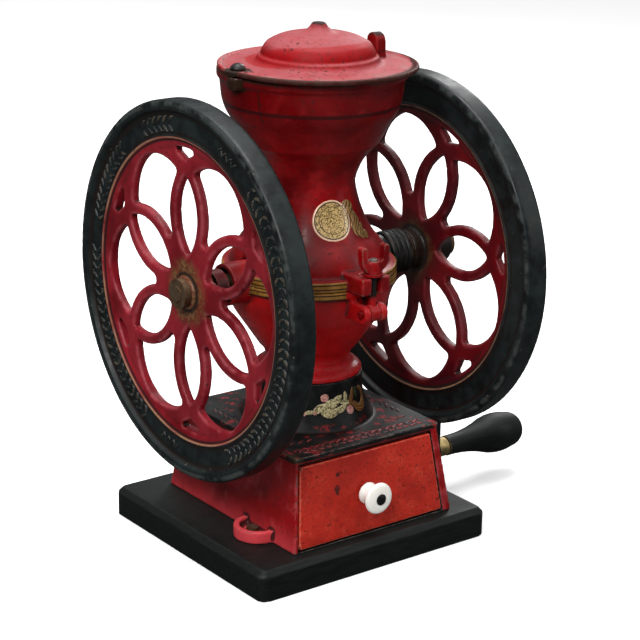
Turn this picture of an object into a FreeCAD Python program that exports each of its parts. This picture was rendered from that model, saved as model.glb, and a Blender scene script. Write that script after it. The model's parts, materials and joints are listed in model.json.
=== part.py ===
"""Double-wheel counter coffee mill, in millimetres.

+X runs along the main shaft towards the crank wheel, -Y is the front with the drawer and the
latch, and +Z is up. The origin is on the underside of the plinth board, below the hopper's axis.
"""

import math
import os
import re

import FreeCAD, Part
import Sketcher

SIZES = {
    # plinth board
    "board_left": -109.6,
    "board_length": 208.0,
    "board_half": 97.6,
    "board_height": 22.6,
    "board_corner": 7.0,
    "board_bevel": 4.0,
    # cast base box, wider at its foot than at its top
    "base_foot_half": 72.8,
    "base_foot_front": -85.5,
    "base_foot_back": 76.5,
    "base_top_half": 64.5,
    "base_top_front": -74.5,
    "base_top_back": 65.5,
    "base_top_level": 91.3,
    "base_wall": 4.0,
    "base_plate": 5.0,
    "plate_lip": 1.4,
    "plate_lip_height": 2.6,
    "ear_radius": 18.0,
    "ear_height": 9.0,
    "ear_floor": 4.5,
    "ear_well": 13.5,
    "ear_side_y": -40.0,
    "ear_side_x": 72.5,
    "ear_back_y": 77.0,
    "ear_screw_offset": 5.0,
    # neck on the base
    "neck_foot_radius": 50.5,
    "neck_flare": 46.0,
    "neck_radius": 41.0,
    "neck_bore": 36.0,
    "neck_straight_level": 121.0,
    "neck_level": 126.0,
    "neck_ring_level": 120.0,
    "neck_ring_bore": 24.0,
    # small screws
    "screw_radius": 2.5,
    "screw_hole": 2.55,
    "screw_head_radius": 4.6,
    "screw_head_height": 3.0,
    "casing_screw_circle": 29.5,
    "casing_screw_end": 133.0,
    "screw_depth": 11.3,
    # lengths of cutting tools only
    "drill_length": 60.0,
    "clearing": 300.0,
    # lower casing
    "casing_foot": 126.0,
    "casing_foot_radius": 40.5,
    "casing_foot_edge": 129.0,
    "casing_foot_shoulder": 37.5,
    "casing_foot_top": 131.5,
    "casing_waist": 31.5,
    "casing_waist_level": 137.5,
    "casing_bowl_radius": 37.0,
    "casing_bowl_level": 147.0,
    "casing_side_radius": 54.5,
    "casing_side_level": 172.5,
    "casing_belly_radius": 61.0,
    "casing_band_level": 196.5,
    "casing_bore_level": 134.0,
    "casing_wall": 4.5,
    "band_radius": 64.5,
    "seam_level": 202.4,
    "seam_gap": 0.3,
    "band_top_level": 209.8,
    # shaft line
    "shaft_level": 202.6,
    "shaft_radius": 8.0,
    "shaft_left": -116.2,
    "shaft_left_seat": -110.3,
    "shaft_right_seat": 126.9,
    "shaft_right": 133.0,
    "thread_radius": 5.4,
    "running_gap": 0.05,
    "boss_radius": 15.5,
    "boss_inner": 46.0,
    "boss_outer": 76.0,
    "right_boss_outer": 67.0,
    "cup_radius": 11.8,
    "cup_depth": 9.0,
    "bush_radius": 10.5,
    "nose_radius": 12.2,
    "nose_end": 78.0,
    # feed trough and burrs
    "shelf_level": 196.0,
    "trough_bore": 17.0,
    "trough_wall": 3.5,
    "web_left": 19.0,
    "web_right": 23.5,
    "web_radius": 41.0,
    "burr_radius": 34.0,
    "burr_bore": 17.0,
    "burr_face": 29.0,
    "burr_gap": 0.4,
    "burr_back": 37.0,
    "burr_screw_circle": 28.5,
    "burr_screw_left": 16.5,
    "burr_screw_right": 26.5,
    "auger_core": 11.0,
    "auger_radius": 15.6,
    "auger_left": -44.0,
    "auger_right": 28.0,
    "auger_pitch": 20.0,
    "auger_flight": 2.6,
    # upper casing with the hopper
    "shoulder_radius": 58.5,
    "shoulder_level": 211.0,
    "slope_radius": 47.0,
    "slope_level": 231.5,
    "waist_radius": 32.5,
    "waist_level": 270.0,
    "flare_radius": 49.5,
    "flare_level": 299.3,
    "cup_side_radius": 58.3,
    "cup_side_level": 316.0,
    "cup_top_radius": 65.5,
    "cup_top_level": 335.0,
    "rim_radius": 68.5,
    "rim_foot_level": 345.0,
    "rim_level": 352.8,
    "hopper_wall": 4.0,
    # latch at the front
    "latch_y": -75.0,
    "latch_pin_level": 188.0,
    "latch_pin_radius": 2.5,
    "latch_pin_half": 11.5,
    "latch_ear_radius": 6.6,
    "latch_ear_inner": 4.4,
    "latch_ear_outer": 10.0,
    "latch_fork_half": 12.5,
    "latch_fork_slot": 3.9,
    "latch_fork_front": -79.6,
    "latch_fork_top": 215.0,
    "swing_eye_radius": 6.2,
    "swing_eye_half": 4.1,
    "swing_bolt_radius": 3.0,
    "swing_bolt_top": 228.0,
    "latch_washer_radius": 7.5,
    "latch_washer_level": 216.2,
    "latch_washer_height": 1.6,
    "wing_hub_radius": 6.4,
    "wing_hub_top_radius": 5.0,
    "wing_hub_height": 9.0,
    "wing_reach": 12.4,
    "wing_width": 4.8,
    "wing_height": 21.0,
    "wing_thickness": 6.2,
    # hinge at the back
    "hinge_y": 72.0,
    "hinge_radius": 6.5,
    "hinge_inner": 6.0,
    "hinge_gap": 0.4,
    "hinge_outer": 12.0,
    "hinge_pin_radius": 3.0,
    "hinge_pin_half": 15.0,
    # hopper lid
    "lid_level": 353.3,
    "lid_radius": 72.0,
    "lid_edge_level": 357.0,
    "lid_edge_inner": 68.8,
    "lid_field_level": 355.7,
    "lid_foot_radius": 47.5,
    "lid_foot_level": 356.9,
    "lid_ridge_radius": 43.4,
    "lid_ridge_level": 361.0,
    "lid_step_radius": 41.2,
    "lid_step_level": 363.0,
    "lid_brow_radius": 37.2,
    "lid_brow_level": 370.8,
    "lid_crown_radius": 16.5,
    "lid_crown_level": 377.6,
    "finial_radius": 6.2,
    "finial_level": 382.6,
    "finial_tip": 4.4,
    "finial_top": 385.6,
    "lid_hollow_radius": 38.0,
    "lid_hollow_level": 374.5,
    "pivot_x": -66.0,
    "pivot_y": -2.0,
    "pivot_radius": 2.6,
    "pivot_bottom": 345.5,
    "pivot_ear_radius": 9.0,
    "pivot_lug_radius": 7.5,
    "pivot_lug_bottom": 343.5,
    "pivot_head_radius": 5.6,
    "pivot_head_level": 357.3,
    "pivot_head_top": 361.8,
    "lid_turn": -6.0,
    "tab_reach": 48.5,
    "tab_width_half": 8.0,
    "tab_thickness": 8.0,
    "tab_top": 375.2,
    # wheels
    "wheel_radius": 136.5,
    "wheel_half_width": 9.5,
    "rim_round": 3.2,
    "lip_inner": 129.5,
    "channel_outer": 127.0,
    "channel_half": 5.4,
    "bead_outer": 111.8,
    "bead_inner": 108.6,
    "bead_half": 6.6,
    "ring_outer": 106.5,
    "ring_half": 4.8,
    "ring_inner": 102.5,
    "web_half": 3.6,
    "left_wheel_x": -103.75,
    "crank_wheel_x": 102.5,
    "left_hub_radius": 11.8,
    "left_hub_out": 6.6,
    "left_hub_in": 14.0,
    "crank_hub_radius": 15.0,
    "crank_hub_out": 24.5,
    "crank_hub_in": 13.0,
    "petal_count": 6,
    "petal_reach": 54.75,
    "petal_offset": 26.5,
    "petal_circle": 39.6,
    "fan_circle": 42.8,
    "rib_width": 8.2,
    "hub_disc": 42.0,
    "tip_reach": 100.0,
    "tip_radius": 11.0,
    "left_petal_angle": 92.0,
    "crank_petal_angle": 8.4,
    "wheel_nut_radius": 10.8,
    "wheel_nut_height": 5.0,
    "set_screw_radius": 3.0,
    "set_screw_length": 9.0,
    "set_screw_inset": 5.0,
    # collar on the shaft beside the left bearing
    "collar_left": -88.5,
    "collar_right": -79.0,
    "collar_radius": 12.5,
    # regulating nut and thrust washer
    "nut_left": 67.6,
    "nut_right": 86.8,
    "nut_groove": 15.7,
    "nut_bead_pitch": 4.8,
    "nut_bead_radius": 2.7,
    "nut_bore_end": 81.0,
    "nut_shaft_bore": 8.4,
    "thrust_radius": 14.0,
    "thrust_left": 87.0,
    "thrust_right": 89.3,
    # crank
    "crank_reach": 166.0,
    "crank_lean": 4.1,
    "crank_root": 122.0,
    "crank_lug_left": 105.9,
    "crank_lug_right": 117.3,
    "crank_lug_half": 9.0,
    "crank_eye_radius": 10.5,
    "spindle_radius": 4.0,
    "spindle_left": 100.4,
    "spindle_right": 203.0,
    "spindle_nut_radius": 7.0,
    "ferrule_left": 118.0,
    "ferrule_right": 129.0,
    "ferrule_radius": 7.6,
    "grip_right": 206.0,
    "grip_neck": 8.2,
    "grip_swell": 15.2,
    "grip_swell_x": 185.0,
    "grip_end_radius": 8.0,
    # drawer
    "drawer_x": -2.2,
    "drawer_gap": 0.8,
    "drawer_low": 24.9,
    "drawer_high": 84.0,
    "drawer_foot_half": 66.2,
    "drawer_top_half": 59.9,
    "drawer_foot_front": -85.4,
    "drawer_top_front": -76.2,
    "drawer_thickness": 6.0,
    "tray_half": 54.0,
    "tray_back": 58.0,
    "tray_high": 78.0,
    "tray_wall": 1.2,
    "knob_x": -5.4,
    "knob_level": 54.0,
    "knob_radius": 11.9,
    "knob_neck": 6.8,
    "knob_foot": 8.2,
    "knob_length": 16.0,
    "knob_foot_y": -82.2,
    "knob_screw_radius": 2.0,
    "knob_screw_head": 4.2,
}

doc = FreeCAD.newDocument("coffee_mill")
NODES = []


def fill_sheet():
    """The driving dimensions, one alias in each row."""
    sheet = doc.addObject("Spreadsheet::Sheet", "dims")
    for row, (alias, value) in enumerate(SIZES.items(), 1):
        sheet.set(f"A{row}", alias)
        sheet.set(f"B{row}", str(value))
        sheet.setAlias(f"B{row}", alias)
    doc.recompute()


def in_sheet(text):
    """An expression on aliases, as FreeCAD reads it."""
    return re.sub(r"[a-z]\w+", r"dims.\g<0>", text)


def number(text):
    """The value of a sum of aliases and plain numbers, such as "rim_radius - hopper_wall"."""
    total, sign = 0.0, 1.0
    for word in text.split():
        if word in ("+", "-"):
            sign = 1.0 if word == "+" else -1.0
        else:
            negative = word.startswith("-")
            word = word.lstrip("-")
            value = SIZES[word] if word in SIZES else float(word)
            total += sign * (-value if negative else value)
    return total


def bind(item, **texts):
    """Binds each property of item to an expression on the sheet."""
    for name, text in texts.items():
        item.setExpression(name.replace("__", "."), in_sheet(text))
    return item


TURNS = {
    "+z": FreeCAD.Rotation(),
    "+x": FreeCAD.Rotation(FreeCAD.Vector(0, 1, 0), 90),
    "-x": FreeCAD.Rotation(FreeCAD.Vector(0, 1, 0), -90),
    "-y": FreeCAD.Rotation(FreeCAD.Vector(1, 0, 0), 90),
    "+y": FreeCAD.Rotation(FreeCAD.Vector(1, 0, 0), -90),
}


def put(item, base=("0", "0", "0"), turn="+z"):
    """Points the item's own Z along turn and moves its origin to base."""
    item.Placement = FreeCAD.Placement(FreeCAD.Vector(), TURNS[turn])
    bind(item, Placement__Base__x=base[0], Placement__Base__y=base[1], Placement__Base__z=base[2])
    return item


def node(item, label):
    """Names a finished sub-part, so that it is checked and written."""
    item.Label = label
    NODES.append(item)
    return item


def cylinder(radius, height, base=("0", "0", "0"), turn="+z"):
    item = bind(doc.addObject("Part::Cylinder", "cylinder"), Radius=radius, Height=height)
    return put(item, base, turn)


def box(length, width, height, base):
    item = bind(doc.addObject("Part::Box", "box"), Length=length, Width=width, Height=height)
    return put(item, base)


def fuse(*items):
    item = doc.addObject("Part::MultiFuse", "fuse")
    item.Shapes = list(items)
    return item


def common(*items):
    item = doc.addObject("Part::MultiCommon", "common")
    item.Shapes = list(items)
    return item


def cut(base, *tools):
    item = doc.addObject("Part::Cut", "cut")
    item.Base = base
    item.Tool = fuse(*tools) if len(tools) > 1 else tools[0]
    return item


def group(*items):
    item = doc.addObject("Part::Compound", "group")
    item.Links = list(items)
    return item


def loft_box(low, high, level_low, level_high, middle="0"):
    """A box that tapers upwards; low and high are (half width, front, back), about x = middle."""
    wedge = put(doc.addObject("Part::Wedge", "wedge"), (middle, "0", "0"), "-y")
    bind(wedge, Xmin=f"-({low[0]})", Xmax=low[0], X2min=f"-({high[0]})", X2max=high[0])
    bind(wedge, Zmin=f"-({low[2]})", Zmax=f"-({low[1]})", Z2min=f"-({high[2]})")
    bind(wedge, Z2max=f"-({high[1]})", Ymin=level_low, Ymax=level_high)
    return wedge


def arc_between(start, end, radius):
    """The short arc from start to end; a positive radius turns anticlockwise."""
    chord = end - start
    middle = (start + end) * 0.5
    normal = FreeCAD.Vector(-chord.y, chord.x, 0).normalize()
    rise = math.sqrt(radius**2 - (chord.Length / 2) ** 2)
    centre = middle + normal * math.copysign(rise, radius)
    first, last = (start, end) if radius > 0 else (end, start)
    angles = [math.atan2(p.y - centre.y, p.x - centre.x) for p in (first, last)]
    circle = Part.Circle(centre, FreeCAD.Vector(0, 0, 1), abs(radius))
    return Part.ArcOfCircle(circle, angles[0], angles[1])


def outline(body, role, points):
    """A closed sketch. A third text in a point makes the edge that leaves it an arc of that radius."""
    sketch = body.newObject("Sketcher::SketchObject", "sketch")
    plane = next(item for item in body.Origin.OriginFeatures if item.Role == role)
    sketch.AttachmentSupport = [(plane, "")]
    sketch.MapMode = "FlatFace"
    corners = [FreeCAD.Vector(number(point[0]), number(point[1]), 0) for point in points]
    starts, ends = [], []
    for index, point in enumerate(points):
        here, following = corners[index], corners[(index + 1) % len(points)]
        radius = number(point[2]) if len(point) > 2 else 0
        edge = arc_between(here, following, radius) if radius else Part.LineSegment(here, following)
        sketch.addGeometry(edge, False)
        starts.append(2 if radius < 0 else 1)
        ends.append(1 if radius < 0 else 2)
    for index, point in enumerate(points):
        before = index - 1 if index else len(points) - 1
        sketch.addConstraint(Sketcher.Constraint("Coincident", before, ends[before], index, starts[index]))
        for kind, text in (("DistanceX", point[0]), ("DistanceY", point[1])):
            rule = Sketcher.Constraint(kind, index, starts[index], number(text))
            sketch.setExpression(f"Constraints[{sketch.addConstraint(rule)}]", in_sheet(text))
        if len(point) > 2:
            rule = Sketcher.Constraint("Radius", index, abs(number(point[2])))
            sketch.setExpression(f"Constraints[{sketch.addConstraint(rule)}]", in_sheet(point[2].lstrip("-")))
    return sketch


def turned(points, base=("0", "0", "0"), turn="+z"):
    """A body turned about its own Z from an outline of (radius, height)."""
    body = doc.addObject("PartDesign::Body", "turned")
    sketch = outline(body, "XZ_Plane", points)
    turning = body.newObject("PartDesign::Revolution", "turning")
    turning.Profile = sketch
    turning.ReferenceAxis = (sketch, ["V_Axis"])
    turning.Angle = 360
    return put(body, base, turn)


def slab(points, thickness, role, base=("0", "0", "0")):
    """A body of even thickness, half of it on each side of the outline's plane."""
    body = doc.addObject("PartDesign::Body", "slab")
    pad = body.newObject("PartDesign::Pad", "pad")
    pad.Profile = outline(body, role, points)
    pad.Midplane = True
    bind(pad, Length=thickness)
    return put(body, base)


def upright_edges(shape):
    """The names of the straight edges that run along Z."""
    names = []
    for index, edge in enumerate(shape.Edges, 1):
        ends = [vertex.Point for vertex in edge.Vertexes]
        if len(ends) == 2 and (ends[0] - ends[1]).cross(FreeCAD.Vector(0, 0, 1)).Length < 1e-6:
            names.append(f"Edge{index}")
    return names


def edges_at(shape, level):
    """The names of the edges that lie at this height."""
    found = []
    for index, edge in enumerate(shape.Edges, 1):
        if abs(edge.BoundBox.ZMin - level) < 1e-6 and abs(edge.BoundBox.ZMax - level) < 1e-6:
            found.append(f"Edge{index}")
    return found


def dress(body, kind, names, **texts):
    """A PartDesign fillet or chamfer on the named edges of the body's last feature."""
    before = body.Tip
    feature = body.newObject(f"PartDesign::{kind}", kind.lower())
    feature.Base = (before, names)
    bind(feature, **texts)
    doc.recompute()
    return feature


def plinth_board():
    body = doc.addObject("PartDesign::Body", "board")
    pad = body.newObject("PartDesign::Pad", "pad")
    right, front, back = "board_left + board_length", "-board_half", "board_half"
    pad.Profile = outline(
        body, "XY_Plane", [("board_left", front), (right, front), (right, back), ("board_left", back)]
    )
    bind(pad, Length="board_height")
    doc.recompute()
    dress(body, "Fillet", upright_edges(pad.Shape), Radius="board_corner")
    dress(body, "Chamfer", edges_at(body.Tip.Shape, SIZES["board_height"]), Size="board_bevel")
    bottom = "board_height - screw_depth - 0.3"
    holes = [cylinder("screw_hole", "screw_depth + 0.3", (x, y, bottom)) for _, _, x, y in EARS]
    node(cut(body, *holes), "plinth_board")


def ear(x, y, screw_x, screw_y):
    """A round screw ear with a raised rim, and the hole in it."""
    disc = cylinder("ear_radius", "ear_height", (x, y, "board_height"))
    well = cylinder("ear_well", "ear_height", (x, y, "board_height + ear_floor"))
    hole = cylinder("screw_hole", "ear_height", (screw_x, screw_y, "board_height"))
    return cut(disc, well), hole


EARS = [
    ("-ear_side_x", "ear_side_y", "-ear_side_x - ear_screw_offset", "ear_side_y"),
    ("ear_side_x", "ear_side_y", "ear_side_x + ear_screw_offset", "ear_side_y"),
    ("0", "ear_back_y", "0", "ear_back_y + ear_screw_offset"),
]


def around(count, first=0.0):
    """Even angles in degrees."""
    return [first + 360.0 / count * index for index in range(count)]


def on_circle(radius, angle):
    """The expressions of a point on a circle about the origin."""
    cosine, sine = math.cos(math.radians(angle)), math.sin(math.radians(angle))
    return f"{radius} * ({cosine:.9f})", f"{radius} * ({sine:.9f})"


def base_box():
    foot = ("base_foot_half", "base_foot_front", "base_foot_back")
    top = ("base_top_half", "base_top_front", "base_top_back")
    shell = loft_box(foot, top, "board_height", "base_top_level")
    lip = [f"{top[0]} + plate_lip", f"{top[1]} - plate_lip", f"{top[2]} + plate_lip"]
    plate = loft_box(lip, lip, "base_top_level - plate_lip_height", "base_top_level")
    hollow = loft_box(
        [f"{foot[0]} - base_wall", f"{foot[1]} + base_wall", f"{foot[2]} - base_wall"],
        [f"{top[0]} - base_wall", f"{top[1]} + base_wall", f"{top[2]} - base_wall"],
        "board_height",
        "base_top_level - base_plate",
    )
    reach = ("base_foot_front - base_wall", "base_top_front + base_wall * 3")
    opening = loft_box(
        ["drawer_foot_half + drawer_gap", *reach],
        ["drawer_top_half + drawer_gap", *reach],
        "drawer_low - drawer_gap",
        "drawer_high + drawer_gap",
        "drawer_x",
    )
    throat = cylinder("neck_bore", "base_plate * 2", ("0", "0", "base_top_level - base_plate * 1.5"))
    neck = turned([
        ("neck_bore", "base_top_level - base_plate"),
        ("neck_foot_radius", "base_top_level - base_plate"),
        ("neck_foot_radius", "base_top_level", "-neck_flare"),
        ("neck_radius", "neck_straight_level"),
        ("neck_radius", "neck_level"),
        ("neck_ring_bore", "neck_level"),
        ("neck_ring_bore", "neck_ring_level"),
        ("neck_bore", "neck_ring_level"),
    ])
    ears, holes = zip(*[ear(*place) for place in EARS])
    for angle in around(3, 90):
        x, y = on_circle("casing_screw_circle", angle)
        holes += (cylinder("screw_hole", "base_plate * 2", (x, y, "neck_ring_level - 1")),)
    walls = cut(fuse(shell, plate, *ears), hollow, opening, throat)
    node(cut(fuse(walls, neck), *holes), "base_box")


def screw(base, turn="+z", length="ear_floor + screw_depth"):
    """A round-headed screw whose own Z points out of its head; base is under the head."""
    shank = cylinder("screw_radius", length, ("0", "0", f"-({length})"))
    head = cylinder("screw_head_radius", "screw_head_height")
    return put(fuse(shank, head), base, turn)


def casing_outline():
    """The lower casing's wall, from the foot's bore outwards and up, and back down inside."""
    return [
        ("neck_ring_bore", "casing_foot"),
        ("casing_foot_radius", "casing_foot"),
        ("casing_foot_radius", "casing_foot_edge"),
        ("casing_foot_shoulder", "casing_foot_top", "-7.5"),
        ("casing_waist", "casing_waist_level", "-14"),
        ("casing_bowl_radius", "casing_bowl_level"),
        ("casing_side_radius", "casing_side_level", "42"),
        ("casing_belly_radius", "casing_band_level"),
        ("band_radius", "casing_band_level"),
        ("band_radius", "seam_level"),
        ("casing_belly_radius - casing_wall", "seam_level"),
        ("casing_belly_radius - casing_wall", "casing_band_level", "-38"),
        ("casing_side_radius - casing_wall", "casing_side_level + 2"),
        ("casing_bowl_radius - casing_wall", "casing_bowl_level + 4"),
        ("neck_ring_bore", "casing_bore_level"),
    ]


def lugs(inner, outer, radius, y, level, root, top):
    """A pair of ears on a cross pin, one each side of the middle plane, with roots as high as top."""
    made = []
    for base in (f"-({outer})", inner):
        made.append(cylinder(radius, f"{outer} - ({inner})", (base, y, level), "+x"))
        low = root if number(root) < number(y) else y
        size = f"{y} - ({root})" if low == root else f"{root} - ({y})"
        bottom = f"{level} - {radius}"
        made.append(box(f"{outer} - ({inner})", size, f"{top} - ({bottom})", (base, low, bottom)))
    return made


def hinge_bore():
    """The bore of the rear hinge, through its ears and its knuckle."""
    base = ("-drill_length / 2", "hinge_y", "shaft_level")
    return cylinder("hinge_pin_radius + running_gap", "drill_length", base, "+x")


def lower_casing():
    wall = turned(casing_outline())
    within = turned([
        ("0", "casing_bowl_level"),
        *casing_outline()[5:8],
        ("casing_belly_radius", "seam_level"),
        ("0", "seam_level"),
    ])
    shelf = box("60 + web_right", "120", "seam_level - shelf_level", ("-60", "-60", "shelf_level"))
    shelf = common(within, shelf)
    trough_end = ("auger_left - trough_wall", "0", "shaft_level")
    trough = cylinder("trough_bore + trough_wall", "web_right - auger_left + trough_wall", trough_end, "+x")
    web_place = ("web_left", "0", "shaft_level")
    web = common(within, cylinder("web_radius", "web_right - web_left", web_place, "+x"))
    ceiling = box("clearing", "clearing", "clearing", ("-clearing / 2", "-clearing / 2", "seam_level"))
    inside = cut(fuse(shelf, trough, web), ceiling)
    lengths = {"-boss_outer": "boss_outer - boss_inner", "boss_inner": "right_boss_outer - boss_inner"}
    bosses = [
        cylinder("boss_radius", length, (first, "0", "shaft_level"), "+x")
        for first, length in lengths.items()
    ]
    nose_foot = ("right_boss_outer", "0", "shaft_level")
    nose = cylinder("nose_radius", "nose_end - right_boss_outer", nose_foot, "+x")
    ears = ("latch_ear_inner", "latch_ear_outer", "latch_ear_radius", "latch_y", "latch_pin_level")
    front = lugs(*ears, "-52", "latch_pin_level + latch_ear_radius")
    ears = ("hinge_inner + hinge_gap", "hinge_outer", "hinge_radius", "hinge_y", "shaft_level")
    back = lugs(*ears, "60", "seam_level")
    pin_radius = "latch_pin_radius + running_gap"
    latch_line = ("-drill_length / 2", "latch_y", "latch_pin_level")
    bores = [
        cylinder("bush_radius", "nose_end * 2", ("-nose_end", "0", "shaft_level"), "+x"),
        cylinder("trough_bore", "web_right - auger_left", ("auger_left", "0", "shaft_level"), "+x"),
        cylinder("cup_radius", "cup_depth", ("-boss_outer", "0", "shaft_level"), "+x"),
        cylinder(pin_radius, "drill_length", latch_line, "+x"),
        hinge_bore(),
    ]
    for angle in around(3, 90):
        x, y = on_circle("casing_screw_circle", angle)
        bores.append(cylinder("screw_hole", "casing_screw_end - casing_foot", (x, y, "casing_foot")))
    for y, z in burr_screw_places():
        bores.append(cylinder("screw_hole", "20", ("web_left - 8", y, z), "+x"))
    node(cut(fuse(wall, inside, *bosses, nose, *front, *back), *bores), "lower_casing")


def burr_screw_places():
    """Three screws in the lower half of the burr."""
    places = []
    for angle in (-35, -90, -145):
        y, z = on_circle("burr_screw_circle", angle)
        places.append((y, f"shaft_level + {z}"))
    return places


def upper_casing():
    wall = turned([
        ("casing_belly_radius - casing_wall", "seam_level + seam_gap"),
        ("band_radius", "seam_level + seam_gap"),
        ("band_radius", "band_top_level"),
        ("shoulder_radius", "shoulder_level", "45"),
        ("slope_radius", "slope_level", "-95"),
        ("waist_radius", "waist_level", "-46"),
        ("flare_radius", "flare_level"),
        ("cup_side_radius", "cup_side_level", "37"),
        ("cup_top_radius", "cup_top_level"),
        ("rim_radius - 2", "rim_foot_level"),
        ("rim_radius", "rim_foot_level + 1.5"),
        ("rim_radius", "rim_level"),
        ("rim_radius - hopper_wall - 1", "rim_level"),
        ("cup_top_radius - hopper_wall", "cup_top_level", "-33"),
        ("cup_side_radius - hopper_wall", "cup_side_level + 1"),
        ("flare_radius - hopper_wall", "flare_level + 1.5", "50"),
        ("waist_radius - hopper_wall", "waist_level", "99"),
        ("slope_radius - hopper_wall", "slope_level - 1.5", "-41"),
        ("casing_belly_radius - casing_wall", "shoulder_level - 2"),
    ])
    fork = box(
        "latch_fork_half * 2",
        "-latch_fork_front - 56",
        "latch_fork_top - seam_level - seam_gap",
        ("-latch_fork_half", "latch_fork_front", "seam_level + seam_gap"),
    )
    slot = box(
        "latch_fork_slot * 2", "16", "40", ("-latch_fork_slot", "latch_fork_front - 1", "seam_level")
    )
    knuckle = cylinder("hinge_radius", "hinge_inner * 2", ("-hinge_inner", "hinge_y", "shaft_level"), "+x")
    strap = box("hinge_inner * 2", "12", "hinge_radius", ("-hinge_inner", "60", "seam_level + seam_gap"))
    lug_foot = ("pivot_x", "pivot_y", "pivot_lug_bottom")
    lug = cylinder("pivot_lug_radius", "rim_level - pivot_lug_bottom", lug_foot)
    clear = cylinder("cup_top_radius - hopper_wall", "40", ("0", "0", "pivot_lug_bottom - 1"))
    holes = [
        cylinder("boss_radius + seam_gap", "boss_outer * 2", ("-boss_outer", "0", "shaft_level"), "+x"),
        hinge_bore(),
        cylinder("pivot_radius + running_gap", "drill_length", ("pivot_x", "pivot_y", "pivot_bottom - 1")),
    ]
    node(cut(fuse(wall, fork, knuckle, strap, cut(lug, clear)), slot, *holes), "upper_casing")


def latch():
    """The cross pin, the swing bolt on it, its washer and the wing nut."""
    left_end = ("-latch_pin_half", "latch_y", "latch_pin_level")
    node(cylinder("latch_pin_radius", "latch_pin_half * 2", left_end, "+x"), "latch_pin")
    place = ("0", "latch_y", "latch_pin_level")
    eye_place = ("-swing_eye_half", "latch_y", "latch_pin_level")
    eye = cylinder("swing_eye_radius", "swing_eye_half * 2", eye_place, "+x")
    shank = cylinder("swing_bolt_radius", "swing_bolt_top - latch_pin_level", place)
    bore_place = ("-drill_length / 2", "latch_y", "latch_pin_level")
    hole = cylinder("latch_pin_radius + running_gap", "drill_length", bore_place, "+x")
    node(cut(fuse(eye, shank), hole), "swing_bolt")
    bore = "swing_bolt_radius + running_gap"
    node(turned([
        (bore, "0"),
        ("latch_washer_radius", "0"),
        ("latch_washer_radius", "latch_washer_height"),
        (bore, "latch_washer_height"),
    ], ("0", "latch_y", "latch_washer_level")), "latch_washer")
    seat = ("0", "latch_y", "latch_washer_level + latch_washer_height + running_gap")
    hub = turned([
        ("0", "0"),
        ("wing_hub_radius", "0"),
        ("wing_hub_top_radius", "wing_hub_height"),
        ("0", "wing_hub_height"),
    ], seat)
    wings = slab([
        ("-wing_hub_radius", "1"),
        ("wing_hub_radius", "1", "14"),
        ("wing_reach - 0.7", "wing_hub_height"),
        ("wing_reach", "wing_height - 2.6", "2.6"),
        ("wing_reach - wing_width", "wing_height - 2.4"),
        ("wing_hub_radius + 0.6", "wing_hub_height + 1", "-4"),
        ("wing_hub_top_radius - 1", "wing_hub_height - 1.5"),
        ("-wing_hub_top_radius + 1", "wing_hub_height - 1.5", "-4"),
        ("-wing_hub_radius - 0.6", "wing_hub_height + 1"),
        ("-wing_reach + wing_width", "wing_height - 2.4", "2.6"),
        ("-wing_reach", "wing_height - 2.6"),
        ("-wing_reach + 0.7", "wing_hub_height", "14"),
    ], "wing_thickness", "XZ_Plane", seat)
    thread = cylinder(bore, "drill_length", ("0", "latch_y", "latch_washer_level"))
    node(cut(fuse(hub, wings), thread), "wing_nut")


def lid_outline():
    return [
        ("0", "lid_hollow_level"),
        ("lid_crown_radius", "lid_hollow_level - 0.5", "-24"),
        ("lid_hollow_radius", "lid_field_level - 1"),
        ("lid_edge_inner - 1", "lid_level"),
        ("lid_radius - 1", "lid_level"),
        ("lid_radius", "lid_level + 1"),
        ("lid_radius", "lid_edge_level - 1.3", "1.6"),
        ("lid_edge_inner + 0.8", "lid_edge_level"),
        ("lid_edge_inner - 1.2", "lid_field_level"),
        ("lid_foot_radius", "lid_foot_level", "-7"),
        ("lid_ridge_radius", "lid_ridge_level", "1.6"),
        ("lid_ridge_radius - 1.2", "lid_ridge_level + 1.3"),
        ("lid_step_radius", "lid_step_level", "16"),
        ("lid_brow_radius", "lid_brow_level", "38"),
        ("lid_crown_radius", "lid_crown_level", "-14"),
        ("finial_radius", "finial_level", "5"),
        ("finial_tip", "finial_top - 0.5"),
        ("0", "finial_top"),
    ]


def hopper_lid():
    """The domed lid with its pivot ear and thumb tab, swung a little about the pivot."""
    middle = ("-pivot_x", "-pivot_y", "0")
    dome = turned(lid_outline(), middle)
    ear_disc = cylinder("pivot_ear_radius", "lid_edge_level - lid_level", ("0", "0", "lid_level"))
    tab = slab([
        ("-tab_width_half", "lid_level + 1"),
        ("tab_width_half", "lid_level + 1"),
        ("tab_width_half - 1", "tab_top - 6.4", "7.1"),
        ("-tab_width_half + 1", "tab_top - 6.4"),
    ], "tab_thickness", "YZ_Plane", ("tab_reach - pivot_x", "-pivot_y", "0"))
    hole = cylinder("pivot_radius + running_gap", "drill_length", ("0", "0", "lid_level - 20"))
    lid = cut(fuse(dome, ear_disc, tab), hole)
    turn = FreeCAD.Rotation(FreeCAD.Vector(0, 0, 1), SIZES["lid_turn"])
    lid.Placement = FreeCAD.Placement(FreeCAD.Vector(), turn)
    bind(lid, Placement__Base__x="pivot_x", Placement__Base__y="pivot_y")
    node(lid, "hopper_lid")
    node(turned([
        ("0", "pivot_bottom"),
        ("pivot_radius", "pivot_bottom"),
        ("pivot_radius", "pivot_head_level"),
        ("pivot_head_radius", "pivot_head_level"),
        ("pivot_head_radius", "pivot_head_level + 1.2", "6.3"),
        ("0.6", "pivot_head_top"),
        ("0", "pivot_head_top"),
    ], ("pivot_x", "pivot_y", "0")), "lid_pivot_screw")


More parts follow.
